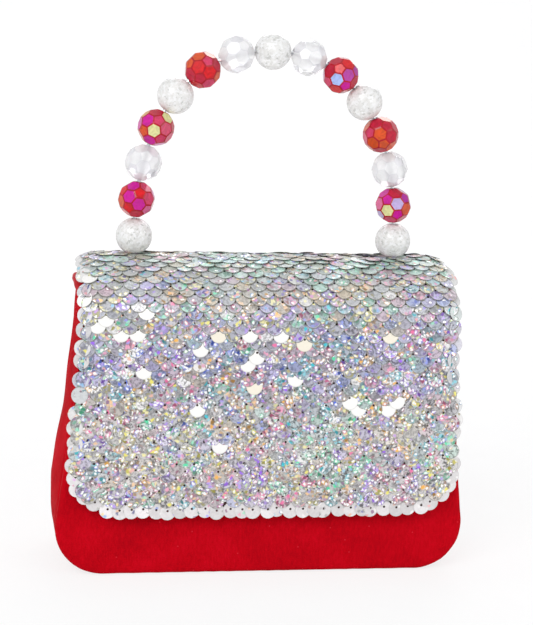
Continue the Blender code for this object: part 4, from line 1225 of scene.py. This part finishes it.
def build_camera():
    """Looks down on the front from a little to its left, as fitted to the outline and beads."""
    turn, rise, roll = math.radians(-9.6), math.radians(10.4), math.radians(2.44)
    back = Vector((math.sin(turn) * math.cos(rise), -math.cos(turn) * math.cos(rise), math.sin(rise)))
    right = Vector((math.cos(turn), math.sin(turn), 0.0))
    tilted_right, tilted_up = turned(np.array(right), np.array(back.cross(right)), -roll)
    eye = Vector((0.0, 0.0, 0.090)) + 0.5 * back
    lens = bpy.data.cameras.new("camera")
    lens.lens = 83.9
    lens.sensor_width = 36.0
    lens.shift_x = 0.0064
    lens.shift_y = -0.01808
    lens.clip_start, lens.clip_end = 0.01, 20.0
    made = add_object("camera", lens)
    made.matrix_world = Matrix([*zip(tilted_right, tilted_up, back, eye), (0, 0, 0, 1)])
    bpy.context.scene.camera = made


def seen_rays(node):
    """1 for rays from the camera, from mirrors and through beads, which all meet a white room."""
    path = node("LightPath").outputs
    seen = node("Math", path["Is Camera Ray"], path["Is Glossy Ray"], operation="MAXIMUM")
    return node("Math", seen, path["Is Transmission Ray"], operation="MAXIMUM")


def build_floor():
    """A pale sheet that runs from under the object up into a wall behind it, in matt paper with
    clouds of 25 mm too faint to see."""
    bend = np.linspace(0, math.pi / 2, 12)
    run = np.concatenate([np.linspace(-1.6, 0.5, 12), 0.5 + 0.4 * np.sin(bend)[1:], np.full(6, 0.9)])
    wall = np.linspace(0.4, 2.4, 7)[1:]
    rise = np.concatenate([np.zeros(12), 0.4 * (1 - np.cos(bend))[1:], wall])[:, None] - 0.0002
    points = points_of(np.linspace(-2.0, 2.0, 9), run[:, None], rise)
    whites = [(0.3, "#F7F7F7"), (0.7, "#FBFBFB")]
    paper = grained("pale paper sweep", None, (40.0, 40.0, 40.0), 2.0, whites, Roughness=0.9)
    nodes, node = paper.node_tree.nodes, partial(add, paper.node_tree)
    share = node("Math", seen_rays(node), 0.8, operation="MULTIPLY")
    both = node("MixShader", share, nodes["Principled BSDF"], node("Emission", hex_colour("#FFFFFF"), 1.0))
    feed(nodes["Material Output"], both)
    sweep = sheet("paper_sweep", points, paper)


def area_light(name, place, aim, size, power):
    lamp = bpy.data.lights.new(name, "AREA")
    lamp.shape = "RECTANGLE"
    lamp.size, lamp.size_y = size
    lamp.energy = power
    made = add_object(name, lamp)
    made.location = place
    made.rotation_euler = (Vector(aim) - Vector(place)).to_track_quat("-Z", "Y").to_euler()


def build_light():
    """Soft studio light: a wide box overhead to the left, a fill from the right, a pale room."""
    world = bpy.data.worlds.new("studio")
    bpy.context.scene.world = world
    world.use_nodes = True
    node = partial(add, world.node_tree)
    room = node("Background", hex_colour("#F4F6FA"), 0.55)
    white = node("Background", hex_colour("#FFFFFF"), 1.0)
    both = node("MixShader", seen_rays(node), room, white)
    feed(world.node_tree.nodes["World Output"], both)
    area_light("key", (-0.55, -0.75, 0.80), (0.0, 0.0, 0.07), (0.6, 0.6), 7.0)
    area_light("fill", (0.85, -0.70, 0.35), (0.0, 0.0, 0.08), (0.6, 0.8), 3.0)
    area_light("back", (0.2, 0.75, 0.65), (0.0, 0.0, 0.10), (0.8, 0.4), 3.0)


bpy.context.scene.view_settings.view_transform = "Standard"
dress_frame()
build_flap(build_body())
build_handle()
build_camera()
build_floor()
build_light()
